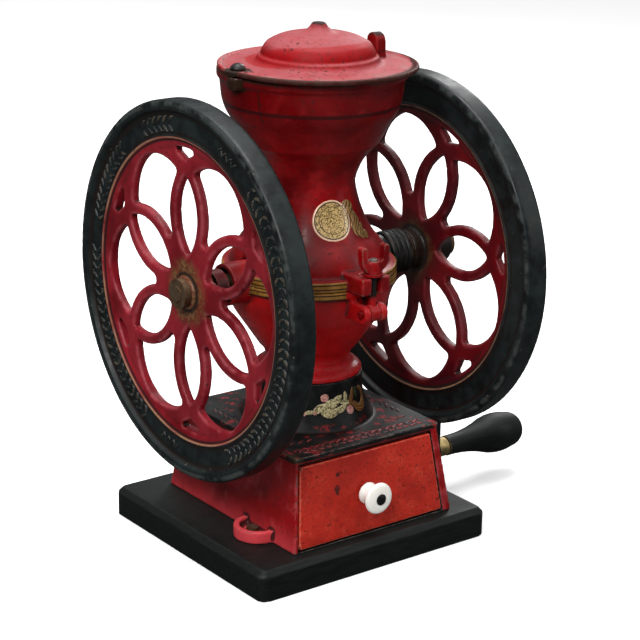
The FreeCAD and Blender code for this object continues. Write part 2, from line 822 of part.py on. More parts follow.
def wheel_blank(hub_radius, hub_out, hub_in, centre, turn):
    """A wheel before its openings: hub, flat web, ring, bead, recessed channel and rounded lip."""
    face = [
        (hub_radius, "web_half"),
        ("ring_inner", "web_half"),
        ("ring_outer", "ring_half"),
        ("bead_inner", "ring_half"),
        ("bead_inner + 1", "bead_half"),
        ("bead_outer - 0.6", "bead_half"),
        ("bead_outer", "channel_half"),
        ("channel_outer", "channel_half"),
        ("lip_inner", "wheel_half_width"),
        ("wheel_radius - rim_round", "wheel_half_width"),
        ("wheel_radius", "wheel_half_width - rim_round"),
    ]
    back = [(radius, f"-{height.replace(' - ', ' + ')}") for radius, height in face]
    bore = "shaft_radius + running_gap"
    points = [(bore, f"-{hub_in}"), (hub_radius, f"-{hub_in}"), *back]
    points += [*reversed(face), (hub_radius, hub_out), (bore, hub_out)]
    lower, upper = points.index(back[-2]), points.index(face[-1])
    points[lower] = (*points[lower], "rim_round")
    points[upper] = (*points[upper], "rim_round")
    return turned(points, (centre, "0", "shaft_level"), turn)


def disc(radius, reach, angle, half):
    """A plain disc across the X axis, its centre at a reach and angle from the shaft."""
    y = -reach * math.cos(math.radians(angle))
    z = reach * math.sin(math.radians(angle))
    return Part.makeCylinder(radius, 2 * half, FreeCAD.Vector(-half, y, z), FreeCAD.Vector(1, 0, 0))


def round_corners(shape, radius):
    """Rounds the corners of an opening that runs along X."""
    along = [edge for edge in shape.Edges if len(edge.Vertexes) == 2 and edge.BoundBox.YLength < 1e-6]
    return shape.makeFillet(radius, [edge for edge in along if edge.BoundBox.ZLength < 1e-6])


def rosette(name, centre, first_angle):
    """The openings of six petals that overlapping circles draw: leaf, fan and tip in each sixth."""
    reach = math.hypot(SIZES["petal_reach"], SIZES["petal_offset"])
    lean = math.degrees(math.atan2(SIZES["petal_offset"], SIZES["petal_reach"]))
    inner, wide, half = SIZES["petal_circle"], SIZES["fan_circle"], SIZES["wheel_half_width"] * 2
    outer = inner + SIZES["rib_width"]
    step = 360.0 / SIZES["petal_count"]
    openings = []
    for angle in around(SIZES["petal_count"], first_angle):
        leaf = disc(inner, reach, angle - lean, half).common(disc(inner, reach, angle + lean, half))
        fan = disc(wide, reach, angle + lean, half).common(disc(wide, reach, angle + step - lean, half))
        for tool in (
            disc(outer, reach, angle - lean, half),
            disc(outer, reach, angle + step + lean, half),
            disc(SIZES["hub_disc"], 0, 0, half),
        ):
            fan = fan.cut(tool)
        tip = disc(SIZES["ring_inner"] + 1, 0, 0, half).common(
            disc(SIZES["tip_radius"], SIZES["tip_reach"], angle, half)
        )
        for side in (angle - lean, angle + lean):
            tip = tip.cut(disc(outer, reach, side, half))
        openings += [leaf, round_corners(fan, 2.2), round_corners(tip, 1.4)]
    feature = doc.addObject("Part::Feature", name)
    feature.Shape = Part.Compound(openings)
    return put(feature, (centre, "0", "shaft_level"))


def crank_lug():
    """The arm on the crank wheel's outer face, past the rim to the eye of the crank spindle."""
    y, z = crank_place()
    eye = cylinder("crank_eye_radius", "crank_lug_right - crank_lug_left", ("crank_lug_left", y, z), "+x")
    body = doc.addObject("PartDesign::Body", "arm")
    pad = body.newObject("PartDesign::Pad", "pad")
    pad.Profile = outline(body, "YZ_Plane", [
        ("-crank_lug_half", "-crank_reach"),
        ("crank_lug_half", "-crank_reach"),
        ("crank_lug_half + 3", "-crank_root", "crank_lug_half + 4"),
        ("-crank_lug_half - 3", "-crank_root"),
    ])
    bind(pad, Length="crank_lug_right - crank_lug_left")
    turn = FreeCAD.Rotation(FreeCAD.Vector(1, 0, 0), -SIZES["crank_lean"])
    body.Placement = FreeCAD.Placement(FreeCAD.Vector(), turn)
    bind(body, Placement__Base__x="crank_lug_left", Placement__Base__z="shaft_level")
    return fuse(eye, body)


def crank_place():
    """Where the crank spindle crosses the YZ plane."""
    y, z = on_circle("crank_reach", -90 - SIZES["crank_lean"])
    return y, f"shaft_level + {z}"


def wheels():
    left = wheel_blank("left_hub_radius", "left_hub_out", "left_hub_in", "left_wheel_x", "-x")
    left_hole, right_hole = set_screws("running_gap")
    petals = rosette("left_rosette", "left_wheel_x", SIZES["left_petal_angle"])
    node(cut(left, petals, left_hole), "left_wheel")
    right = wheel_blank("crank_hub_radius", "crank_hub_out", "crank_hub_in", "crank_wheel_x", "+x")
    openings = rosette("crank_rosette", "crank_wheel_x", SIZES["crank_petal_angle"])
    y, z = crank_place()
    hole = cylinder("spindle_radius + running_gap", "drill_length", ("crank_wheel_x", y, z), "+x")
    node(cut(fuse(cut(right, openings), crank_lug()), hole, right_hole), "crank_wheel")
    node(group(*set_screws()), "hub_set_screws")


def along_shaft(points):
    """A body turned about the shaft line from an outline of (radius, x)."""
    return turned(points, ("0", "0", "shaft_level"), "+x")


def ring(inner, outer, first, last):
    """The outline of a plain ring."""
    return [(inner, first), (outer, first), (outer, last), (inner, last)]


def shaft_line():
    """The main shaft and the plain pieces on it, and the bushes that it runs in."""
    node(along_shaft([
        ("0", "shaft_left"),
        ("thread_radius", "shaft_left"),
        ("thread_radius", "shaft_left_seat"),
        ("shaft_radius", "shaft_left_seat"),
        ("shaft_radius", "shaft_right_seat"),
        ("thread_radius", "shaft_right_seat"),
        ("thread_radius", "shaft_right"),
        ("0", "shaft_right"),
    ]), "main_shaft")
    bore, thread = "shaft_radius + running_gap", "thread_radius + running_gap"
    outside = "bush_radius - running_gap"
    left_end, left_nut = "-boss_outer + cup_depth", "left_wheel_x - left_hub_out - running_gap"
    right_nut = "crank_wheel_x + crank_hub_out + running_gap"
    plain = {
        "left_bearing_bush": ring(bore, outside, left_end, "-boss_inner"),
        "right_bearing_bush": ring(bore, outside, "boss_inner", "nose_end"),
        "left_shaft_collar": ring(bore, "collar_radius", "collar_left", "collar_right"),
        "thrust_washer": ring(bore, "thrust_radius", "thrust_left", "thrust_right"),
        "left_wheel_nut": ring(thread, "wheel_nut_radius", f"{left_nut} - wheel_nut_height", left_nut),
        "right_wheel_nut": ring(thread, "wheel_nut_radius", right_nut, f"{right_nut} + wheel_nut_height"),
    }
    for label, points in plain.items():
        node(along_shaft(points), label)


def regulating_nut():
    """The beaded nut on the casing's threaded nose, which sets how far apart the burrs run."""
    beads = []
    place = "nut_left"
    for _ in range(4):
        beads.append(("nut_groove", place, "nut_bead_radius"))
        place += " + nut_bead_pitch"
    node(along_shaft([
        ("nose_radius + running_gap", "nut_left"),
        *beads,
        ("nut_groove", "nut_right"),
        ("nut_shaft_bore", "nut_right"),
        ("nut_shaft_bore", "nut_bore_end"),
        ("nose_radius + running_gap", "nut_bore_end"),
    ]), "regulating_nut")


def burrs():
    bore = "shaft_radius + running_gap"
    still = along_shaft(ring("burr_bore", "burr_radius", "web_right", "burr_face"))
    holes, screws = [], []
    for y, z in burr_screw_places():
        depth = "burr_screw_right - web_right + running_gap"
        holes.append(cylinder("screw_hole", depth, ("web_right", y, z), "+x"))
        screws.append(screw(("web_left", y, z), "-x", "burr_screw_right - web_left"))
    node(cut(still, *holes), "stationary_burr")
    node(group(*screws), "burr_screws")
    face = "burr_face + burr_gap"
    node(along_shaft([
        (bore, f"{face} + 1.6"),
        ("burr_bore - 1.5", f"{face} + 1.6"),
        ("burr_bore", face),
        ("burr_radius", face),
        ("burr_radius", "burr_back - 1"),
        ("burr_radius - 1", "burr_back"),
        (bore, "burr_back"),
    ]), "rotary_burr")


def feed_auger():
    """A helical flight on a core that is bored for the shaft."""
    left, right = SIZES["auger_left"] + 1, SIZES["auger_right"] - 1
    core_radius, flight = SIZES["auger_core"], SIZES["auger_flight"]
    bore = SIZES["shaft_radius"] + SIZES["running_gap"]
    inside, outside = core_radius - 1, SIZES["auger_radius"]
    helix = Part.makeHelix(SIZES["auger_pitch"], right - left - flight, core_radius)
    corners = [(inside, 0), (outside, 0), (outside, flight), (inside, flight), (inside, 0)]
    section = Part.makePolygon([FreeCAD.Vector(radius, 0, height) for radius, height in corners])
    sweep = Part.Wire(helix).makePipeShell([section], True, True)
    core = Part.makeCylinder(core_radius, right - left)
    solid = core.fuse(sweep).cut(Part.makeCylinder(bore, right - left))
    feature = doc.addObject("Part::Feature", "auger")
    feature.Shape = solid
    node(put(feature, ("auger_left + 1", "0", "shaft_level"), "+x"), "feed_auger")


def set_screws(clearance="0"):
    """One set screw in the inner boss of the left hub and one in the outer boss of the crank hub."""
    left_x = "left_wheel_x + left_hub_in - set_screw_inset"
    right_x = "crank_wheel_x + crank_hub_out / 2"
    level = "shaft_level + shaft_radius + running_gap"
    radius = f"set_screw_radius + {clearance}"
    return [cylinder(radius, "set_screw_length", (x, "0", level)) for x in (left_x, right_x)]


def crank():
    """The spindle with its nut, the brass ferrule and the turned grip that spins on it."""
    y, z = crank_place()
    base, bore = ("0", y, z), "spindle_radius + running_gap"
    spindle = turned([
        ("0", "spindle_left"),
        ("spindle_radius", "spindle_left"),
        ("spindle_radius", "spindle_right"),
        ("0", "spindle_right"),
    ], base, "+x")
    node(spindle, "crank_spindle")
    nut = turned(ring(bore, "spindle_nut_radius", "spindle_left + 1", "crank_lug_left"), base, "+x")
    node(nut, "spindle_nut")
    node(turned([
        (bore, "ferrule_left"),
        ("ferrule_radius", "ferrule_left"),
        ("ferrule_radius", "ferrule_right - 1"),
        ("ferrule_radius - 0.6", "ferrule_right"),
        (bore, "ferrule_right"),
    ], base, "+x"), "crank_ferrule")
    node(turned([
        (bore, "ferrule_right"),
        ("grip_neck", "ferrule_right", "-110"),
        ("grip_swell - 2.4", "grip_swell_x - 20", "46"),
        ("grip_swell - 0.8", "grip_swell_x + 9", "13"),
        ("grip_end_radius", "grip_right - 1", "9"),
        ("1.5", "grip_right + 1.5"),
        ("0", "grip_right + 1.5"),
        ("0", "spindle_right + 0.5"),
        (bore, "spindle_right + 0.5"),
    ], base, "+x"), "crank_grip")


def drawer():
    foot = ["drawer_foot_half", "drawer_foot_front", "drawer_foot_front + drawer_thickness"]
    top = ["drawer_top_half", "drawer_top_front", "drawer_top_front + drawer_thickness"]
    levels = ("drawer_low", "drawer_high", "drawer_x")
    front = loft_box(foot, top, *levels)
    hole_start = ("knob_x", "-60", "knob_level")
    hole = cylinder("knob_screw_radius + running_gap", "drill_length", hole_start, "-y")
    node(cut(front, hole), "drawer_front")
    outer = loft_box(["tray_half", foot[2], "tray_back"], ["tray_half", top[2], "tray_back"], *levels)
    inner_half, inner_back = "tray_half - tray_wall", "tray_back - tray_wall"
    inner = loft_box(
        [inner_half, f"{foot[2]} + tray_wall", inner_back],
        [inner_half, f"{top[2]} + tray_wall", inner_back],
        *levels,
    )
    floor = box("clearing", "clearing", "tray_wall + drawer_low", ("-clearing / 2", "-clearing / 2", "0"))
    above = box("clearing", "clearing", "clearing", ("-clearing / 2", "-clearing / 2", "tray_high"))
    node(cut(outer, cut(inner, floor), above, hole), "drawer_tray")
    bore, length = "knob_screw_radius + running_gap", "knob_length"
    base = ("knob_x", "knob_foot_y", "knob_level")
    node(turned([
        (bore, "0"),
        ("knob_foot", "0"),
        ("knob_foot", "1.4"),
        ("knob_neck", "4.2"),
        ("knob_neck", "6.4", "-3.4"),
        ("knob_radius - 1.6", f"{length} - 5.4"),
        ("knob_radius", f"{length} - 3.6", "3"),
        ("knob_radius - 2.2", f"{length} - 0.8", "16"),
        ("knob_screw_head + 0.6", length),
        (bore, length),
    ], base, "-y"), "drawer_knob")
    node(turned([
        ("0", "-15"),
        ("knob_screw_radius", "-15"),
        ("knob_screw_radius", length),
        ("knob_screw_head", length),
        ("knob_screw_head", f"{length} + 0.4", "5.6"),
        ("0.6", f"{length} + 1.9"),
        ("0", f"{length} + 1.9"),
    ], base, "-y"), "knob_screw")
    nut = ring(bore, "knob_screw_head + 1", "-12.4", "-9.4")
    node(turned(nut, base, "-y"), "knob_nut")


def stand_fasteners():
    places = [(x, y) for _, _, x, y in EARS]
    level = "board_height + ear_floor"
    node(group(*[screw((x, y, level)) for x, y in places]), "base_screws")
    screws = []
    for angle in around(3, 90):
        x, y = on_circle("casing_screw_circle", angle)
        bolt = screw((x, y, "neck_ring_level"), "+z", "casing_screw_end - neck_ring_level - 0.5")
        bolt.Placement.Rotation = FreeCAD.Rotation(FreeCAD.Vector(1, 0, 0), 180)
        screws.append(bolt)
    node(group(*screws), "casing_screws")
    place = ("-hinge_pin_half", "hinge_y", "shaft_level")
    node(cylinder("hinge_pin_radius", "hinge_pin_half * 2", place, "+x"), "rear_hinge_pin")


def check_and_write():
    """Stops on a failed object or an invalid solid, then writes each sub-part."""
    doc.recompute()
    for item in doc.Objects:
        if "Invalid" in item.State or "Error" in item.State:
            raise RuntimeError(f"{item.Name} ({item.Label}) is {item.State}")
    os.makedirs("parts", exist_ok=True)
    for item in NODES:
        shape = item.Shape
        if shape.isNull() or not shape.isValid() or not shape.Solids:
            raise RuntimeError(f"{item.Label} has no valid solid")
        shape.exportStep(f"parts/{item.Label}.step")
        print(item.Label, len(shape.Solids), "solids,", round(shape.Volume), "mm3")


fill_sheet()
plinth_board()
base_box()
stand_fasteners()
lower_casing()
upper_casing()
latch()
hopper_lid()
wheels()
shaft_line()
regulating_nut()
burrs()
feed_auger()
crank()
drawer()
check_and_write()
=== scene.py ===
"""Looks of the double-wheel coffee mill: castings, paint, decals, floor, lights and camera."""
import json
import math

import bmesh
import bpy
import numpy as np
from mathutils import Matrix, Vector, noise
from mathutils.bvhtree import BVHTree


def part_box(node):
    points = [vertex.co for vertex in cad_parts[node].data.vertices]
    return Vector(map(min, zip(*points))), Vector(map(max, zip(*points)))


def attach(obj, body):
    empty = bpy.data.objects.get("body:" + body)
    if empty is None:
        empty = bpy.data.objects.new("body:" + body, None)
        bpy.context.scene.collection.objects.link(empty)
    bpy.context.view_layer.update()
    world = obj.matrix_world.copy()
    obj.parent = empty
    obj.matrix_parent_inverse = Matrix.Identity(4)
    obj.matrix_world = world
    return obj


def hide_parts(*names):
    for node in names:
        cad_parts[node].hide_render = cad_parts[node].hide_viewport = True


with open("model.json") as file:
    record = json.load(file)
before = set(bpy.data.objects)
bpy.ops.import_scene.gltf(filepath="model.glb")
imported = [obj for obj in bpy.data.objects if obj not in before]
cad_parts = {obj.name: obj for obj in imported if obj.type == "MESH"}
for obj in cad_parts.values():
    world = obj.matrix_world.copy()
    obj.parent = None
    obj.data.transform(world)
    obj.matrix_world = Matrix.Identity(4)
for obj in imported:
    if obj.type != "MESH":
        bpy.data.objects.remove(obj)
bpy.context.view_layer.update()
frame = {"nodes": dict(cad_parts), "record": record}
NODES = frame["nodes"]
MM = 0.001


# ---------------------------------------------------------------- places read from the frame
def middle(node):
    low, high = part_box(node)
    return (Vector(low) + Vector(high)) / 2


SHAFT_LEVEL = middle("main_shaft").z
PIVOT_X, PIVOT_Y = middle("lid_pivot_screw").x, middle("lid_pivot_screw").y
DRAWER_X = middle("drawer_front").x
DRAWER_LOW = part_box("drawer_front")[0][2]
DRAWER_FOOT = (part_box("drawer_front")[1][0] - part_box("drawer_front")[0][0]) / 2
CORNER_X, CORNER_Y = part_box("base_box")[0][0] + 0.012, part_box("base_box")[0][1] + 0.006
BODY_OF = {
    node: body for body, nodes in frame["record"]["behaviour"]["bodies"].items() for node in nodes
}

# Places on the castings where paint or ornament starts and ends, in metres.
WHEEL_X = {"left_wheel": -0.10375, "crank_wheel": 0.1025}
CHANNEL_HALF, CHANNEL_MIDDLE = 0.0054, 0.1193  # the rim's channel: half its depth, its radius
RIM_START = 0.1105
RING_OUTER = 0.104
BAND_MIDDLE, BAND_HALF = 0.2031, 0.0066  # the gilt band round the casing's seam
BAND_LINES = (-0.0058, -0.0025, 0.0020, 0.0052)  # its dark lines, from its middle
HOPPER_STRIPE = (0.3287, 0.0013)  # level and half width
LID_SKIRT = 0.361  # below it is the lid's rim
CRACK_Y = -0.0215
PLATE_LEVEL = 0.0913
DRAWER_TAPER = 0.1066  # how much the drawer front's sides lean in, per metre of height
DECAL_LEVEL, SPRAY_LEVEL = 0.2485, 0.110
MEDAL_RADIUS = 15.0  # millimetres, as all decal shapes are


# ---------------------------------------------------------------- shader graph helpers
class Paint:
    """A principled material and short calls for the nodes that feed it."""

    def __init__(self, name, **sockets):
        self.material = bpy.data.materials.new(name)
        self.material.use_nodes = True
        self.tree = self.material.node_tree
        self.shader = self.tree.nodes["Principled BSDF"]
        self.place = self.node("ShaderNodeTexCoord").outputs["Object"]
        for socket, value in sockets.items():
            self.set(socket.replace("_", " "), value)

    def node(self, kind, **settings):
        made = self.tree.nodes.new(kind)
        for name, value in settings.items():
            setattr(made, name, value)
        return made

    def feed(self, socket, value):
        if isinstance(value, bpy.types.NodeSocket):
            self.tree.links.new(value, socket)
        else:
            socket.default_value = value

    def set(self, socket, value):
        if isinstance(value, tuple) and len(value) == 3:
            value = (*value, 1.0)
        self.feed(self.shader.inputs[socket], value)

    def calc(self, operation, first, second=0.0, clamp=False):
        made = self.node("ShaderNodeMath", operation=operation, use_clamp=clamp)
        self.feed(made.inputs[0], first)
        self.feed(made.inputs[1], second)
        return made.outputs[0]

    def step(self, value, low, high, out_low=0.0, out_high=1.0):
        """A smooth change from out_low to out_high as value goes from low to high."""
        made = self.node("ShaderNodeMapRange", interpolation_type="SMOOTHSTEP")
        for socket, number in zip(made.inputs, (value, low, high, out_low, out_high)):
            self.feed(socket, number)
        return made.outputs[0]

    def noise(self, scale, detail=3.0, rough=0.55, place=None):
        made = self.node("ShaderNodeTexNoise")
        self.feed(made.inputs["Vector"], place or self.place)
        for name, value in (("Scale", scale), ("Detail", detail), ("Roughness", rough)):
            made.inputs[name].default_value = value
        return made.outputs["Fac"]

    def cells(self, scale, feature="F1"):
        made = self.node("ShaderNodeTexVoronoi", feature=feature)
        self.feed(made.inputs["Vector"], self.place)
        made.inputs["Scale"].default_value = scale
        return made.outputs["Distance"]

    def stretched(self, x, y, z):
        made = self.node("ShaderNodeMapping")
        self.feed(made.inputs["Vector"], self.place)
        made.inputs["Scale"].default_value = (x, y, z)
        return made.outputs[0]

    def mix(self, share, first, second):
        made = self.node("ShaderNodeMix", data_type="RGBA")
        for index, value in ((0, share), (6, first), (7, second)):
            if isinstance(value, tuple):
                value = (*value, 1.0)
            self.feed(made.inputs[index], value)
        return made.outputs[2]

    def blend(self, share, first, second):
        """The same for plain numbers."""
        made = self.node("ShaderNodeMix", data_type="FLOAT")
        for index, value in ((0, share), (2, first), (3, second)):
            self.feed(made.inputs[index], value)
        return made.outputs[0]

    def split(self, vector=None):
        made = self.node("ShaderNodeSeparateXYZ")
        self.feed(made.inputs[0], vector or self.place)
        return made.outputs

    def edge(self):
        """How convex the casting is here: about 1 on a sharp edge, -1 in a crevice."""
        return self.mark("edge")

    def up(self):
        return self.split(self.node("ShaderNodeNewGeometry").outputs["Normal"])[2]

    def bump(self, height, distance, strength=1.0, onto=None):
        made = self.node("ShaderNodeBump")
        made.inputs["Distance"].default_value = distance
        made.inputs["Strength"].default_value = strength
        self.feed(made.inputs["Height"], height)
        if onto:
            self.feed(made.inputs["Normal"], onto)
        return made.outputs[0]

    def both(self, first, *others):
        for other in others:
            first = self.calc("MULTIPLY", first, other)
        return first

    def ragged(self, value, mottle, amount):
        """The value shaken by a noise, so that a limit set on it comes out uneven."""
        return self.calc("ADD", value, self.both(self.calc("SUBTRACT", mottle, 0.5), amount))

    def mark(self, name):
        return self.node("ShaderNodeAttribute", attribute_name=name).outputs["Fac"]

    def band(self, value, centre, half, soft):
        """1 where value is within half of centre, falling off over soft."""
        away = self.calc("ABSOLUTE", self.calc("SUBTRACT", value, centre))
        return self.step(away, half, half + soft, 1.0, 0.0)


# ---------------------------------------------------------------- colours, linear
CRIMSON = (0.230, 0.0010, 0.0025)
CRIMSON_DEEP = (0.100, 0.0006, 0.0012)
CRIMSON_LIT = (0.330, 0.004, 0.006)
ROSE_FADE = (0.400, 0.055, 0.062)
DRAWER_RED = (0.420, 0.020, 0.009)
# Dark for grime, pits and print lines, and also painted shade in crevices and hollows.
GRIME_AND_SHADE = (0.009, 0.006, 0.005)
BLACK = (0.0035, 0.0050, 0.0050)
GREEN_BLACK = (0.009, 0.014, 0.0145)
WORN_TAN = (0.230, 0.160, 0.085)
RUST = (0.130, 0.060, 0.028)
BARE_IRON = (0.060, 0.050, 0.044)


def casting_bump(paint, coarse=0.00022, fine=0.00006):
    """Sand-cast lumps under a brushed enamel skin."""
    lumps = paint.bump(paint.noise(90, 3), coarse, 0.7)
    return paint.bump(paint.noise(620, 4, 0.6), fine, 0.6, lumps)


def radius_about(paint, across, level):
    return paint.calc("SQRT", paint.calc("ADD", paint.both(across, across), paint.both(level, level)))


def trims(paint, colour, patch, fine):
    """The gilt band round the seam with its dark lines, and a darker hopper above."""
    x, y, z = paint.split()
    radius = radius_about(paint, x, y)
    beside_latch = paint.step(paint.calc("ABSOLUTE", x), 0.0135, 0.0142)
    away = paint.calc("MAXIMUM", beside_latch, paint.step(y, -0.055, -0.05))
    seam = paint.both(paint.step(radius, 0.0655, 0.0665, 1.0, 0.0), paint.step(radius, 0.0595, 0.0605))
    band = paint.both(paint.band(z, BAND_MIDDLE, BAND_HALF, 0.0004), away, seam)
    gilt = paint.mix(paint.step(patch, 0.35, 0.65), (0.20, 0.085, 0.012), (0.34, 0.17, 0.035))
    gilt = paint.mix(paint.both(paint.step(fine, 0.6, 0.7), 0.6), gilt, GRIME_AND_SHADE)
    for offset in BAND_LINES:
        line = paint.band(z, BAND_MIDDLE + offset, 0.00035, 0.0003)
        gilt = paint.mix(paint.both(line, 0.9), gilt, GRIME_AND_SHADE)
    colour = paint.mix(band, colour, gilt)
    colour = paint.mix(paint.both(paint.step(z, 0.275, 0.315), 0.5), colour, (0.085, 0.0004, 0.0008))
    return lug_and_nose(paint, colour, patch, fine)


def lug_and_nose(paint, colour, patch, fine):
    """Dark paint on the pivot lug, the black nose and the rim, and a crack; painted shade on the left boss
    and in its cup.
    """
    x, y, z = paint.split()
    ragged = paint.ragged(x, patch, 0.01)
    about_shaft = radius_about(paint, y, paint.calc("SUBTRACT", z, SHAFT_LEVEL))
    # Painted shade: the left boss's cup round the shaft, made near black below, as where shade falls in
    # its hollow.
    cup = paint.both(paint.step(x, -0.062, -0.064), paint.step(about_shaft, 0.0122, 0.0132, 1.0, 0.0))
    # Painted shade: the casing's left end darkened.
    colour = paint.mix(paint.both(paint.step(ragged, -0.056, -0.072), 0.55), colour, (0.020, 0.003, 0.004))
    lug = paint.both(
        paint.step(x, -0.0605, -0.0625), paint.band(y, PIVOT_Y, 0.0082, 0.0012),
        paint.step(z, 0.3415, 0.3430), paint.step(z, 0.3512, 0.3520, 1.0, 0.0),
    )
    colour = paint.mix(paint.both(lug, 0.92), colour, (0.016, 0.009, 0.004))
    crack = paint.both(
        paint.band(paint.ragged(y, fine, 0.0012), CRACK_Y, 0.0003, 0.0005),
        paint.step(x, -0.02, -0.03), paint.band(z, 0.333, 0.010, 0.003),
    )
    colour = paint.mix(paint.both(crack, 0.85), colour, GRIME_AND_SHADE)
    rim = paint.both(paint.step(z, 0.3490, 0.3512), paint.step(patch, 0.35, 0.55))
    colour = paint.mix(paint.both(rim, 0.8), colour, (0.030, 0.016, 0.010))
    # The black nose is paint; the cup is painted shade.
    dark = paint.calc("MAXIMUM", cup, paint.step(ragged, 0.061, 0.064))
    return paint.mix(dark, colour, (0.008, 0.007, 0.007))


def lid_marks(paint, colour, patch, fine):
    """Dark wear on the lid's rim, its finial, the pivot ear and the thumb tab."""
    x, y, z = paint.split()
    radius = radius_about(paint, x, y)
    ragged = paint.ragged(radius, paint.noise(150, 5, 0.7), 0.006)
    brown = paint.mix(patch, (0.007, 0.004, 0.003), (0.032, 0.020, 0.014))
    low = paint.step(z, LID_SKIRT + 0.001, LID_SKIRT - 0.001)
    grey = paint.both(paint.step(radius, 0.060, 0.068), paint.step(patch, 0.46, 0.62), low, 0.5)
    colour = paint.mix(grey, colour, (0.20, 0.13, 0.11))
    colour = paint.mix(paint.both(paint.step(ragged, 0.0700, 0.0712), low, 0.9), colour, brown)
    around = paint.band(radius, 0.0435, 0.0030, 0.0025)
    colour = paint.mix(paint.both(around, 0.7), colour, CRIMSON)
    colour = paint.mix(paint.both(paint.step(fine, 0.52, 0.64), 0.4), colour, (0.12, 0.018, 0.020))
    tip = paint.step(paint.ragged(z, patch, 0.003), 0.3836, 0.3846)
    colour = paint.mix(paint.both(tip, 0.95), colour, (0.012, 0.008, 0.006))
    ear = radius_about(paint, paint.calc("SUBTRACT", x, PIVOT_X), paint.calc("SUBTRACT", y, PIVOT_Y))
    ear = paint.step(paint.ragged(ear, paint.noise(110, 5, 0.7), 0.010), 0.0085, 0.0105, 1.0, 0.0)
    colour = paint.mix(paint.both(ear, 0.93), colour, (0.014, 0.009, 0.006))
    tab = paint.both(paint.step(x, 0.043, 0.045), paint.step(z, 0.3605, 0.3615))
    worn = paint.calc("MAXIMUM", paint.step(z, 0.3715, 0.3735), paint.step(z, 0.3635, 0.3605))
    colour = paint.mix(paint.both(tab, 0.7), colour, CRIMSON_DEEP)
    return paint.mix(paint.both(tab, worn, 0.92), colour, (0.012, 0.008, 0.006))


def striped(paint, colour, level, half, patch, fine):
    """A hand-painted dark line at one level."""
    line = paint.band(paint.ragged(paint.split()[2], fine, 0.0007), level, half, 0.0002)
    return paint.mix(paint.both(line, paint.step(patch, 0.2, 0.3)), colour, BLACK)


def greasy_shank(paint, colour):
    """The swing bolt's bare shank, black with grease, and its worn end."""
    level = paint.split()[2]
    colour = paint.mix(paint.step(level, 0.198, 0.202), colour, (0.010, 0.008, 0.007))
    return paint.mix(paint.step(level, 0.2262, 0.2266), colour, (0.11, 0.10, 0.09))


def red_enamel(
    name, fade=0.35, chips=0.5, stripe=None, trimmed=False, lid=False, greased=False, coat=None
):
    """Crimson enamel: uneven coat, faded where it faces up, painted shade and grime in corners, chipped at
    edges.
    """
    paint = Paint(name, Specular_IOR_Level=0.08 if lid else 0.22)
    edge, up = paint.edge(), paint.up()
    broad, patch, fine = paint.noise(26, 4), paint.noise(75, 5, 0.62), paint.noise(420, 4)
    deep, light = coat or (CRIMSON_DEEP, CRIMSON)
    colour = paint.mix(paint.step(broad, 0.35, 0.68), deep, light)
    lit = paint.both(paint.step(patch, 0.5, 0.72), 0.0 if coat else 0.55)
    colour = paint.mix(lit, colour, CRIMSON_LIT)
    dusty = paint.both(paint.step(up, 0.25, 0.95), paint.step(patch, 0.25, 0.62, 0.45, 1.0))
    colour = paint.mix(paint.both(dusty, fade), colour, ROSE_FADE)
    rubbed = paint.both(paint.step(edge, 0.25, 0.9), paint.step(patch, 0.42, 0.62))
    colour = paint.mix(paint.both(rubbed, 0.35), colour, ROSE_FADE)
    if stripe:
        colour = striped(paint, colour, *stripe, patch, fine)
    if trimmed:
        colour = trims(paint, colour, patch, fine)
    if lid:
        colour = paint.mix(paint.both(dusty, 0.75), colour, (0.205, 0.060, 0.066))
        colour = lid_marks(paint, colour, patch, fine)
    if greased:
        colour = greasy_shank(paint, colour)
    # Painted shade: concave places darkened, as where shade falls, joined below with real grime specks.
    crevice_shade = paint.both(
        paint.step(edge, -0.16, -0.8), paint.step(patch, 0.3, 0.58, 0.35, 0.95), 0.35 if lid else 1.0
    )
    specks = paint.both(paint.step(fine, 0.60, 0.68), paint.step(broad, 0.42, 0.6))
    blots = paint.both(paint.step(paint.noise(130, 5, 0.7), 0.62, 0.68), paint.step(broad, 0.5, 0.6))
    specks = paint.calc("MAXIMUM", specks, blots)
    dirt_and_shade = paint.calc("MAXIMUM", paint.both(crevice_shade, 0.9), paint.both(specks, 0.85))
    colour = paint.mix(dirt_and_shade, colour, GRIME_AND_SHADE)
    ragged = paint.ragged(edge, paint.noise(210, 5, 0.7), 1.9)
    chip = paint.both(paint.step(ragged, 1.08, 1.2), chips)
    colour = paint.mix(chip, colour, paint.mix(paint.noise(300), BARE_IRON, WORN_TAN))
    paint.set("Base Color", colour)
    dull = 0.2 if lid else 0.0
    rough = paint.blend(paint.step(patch, 0.3, 0.75), 0.26 + dull, 0.44 + dull)
    rough = paint.blend(paint.calc("MAXIMUM", dirt_and_shade, chip), rough, 0.72)
    paint.set("Roughness", rough)
    paint.set("Normal", paint.bump(chip, -0.00012, 0.8, casting_bump(paint)))
    return paint.material


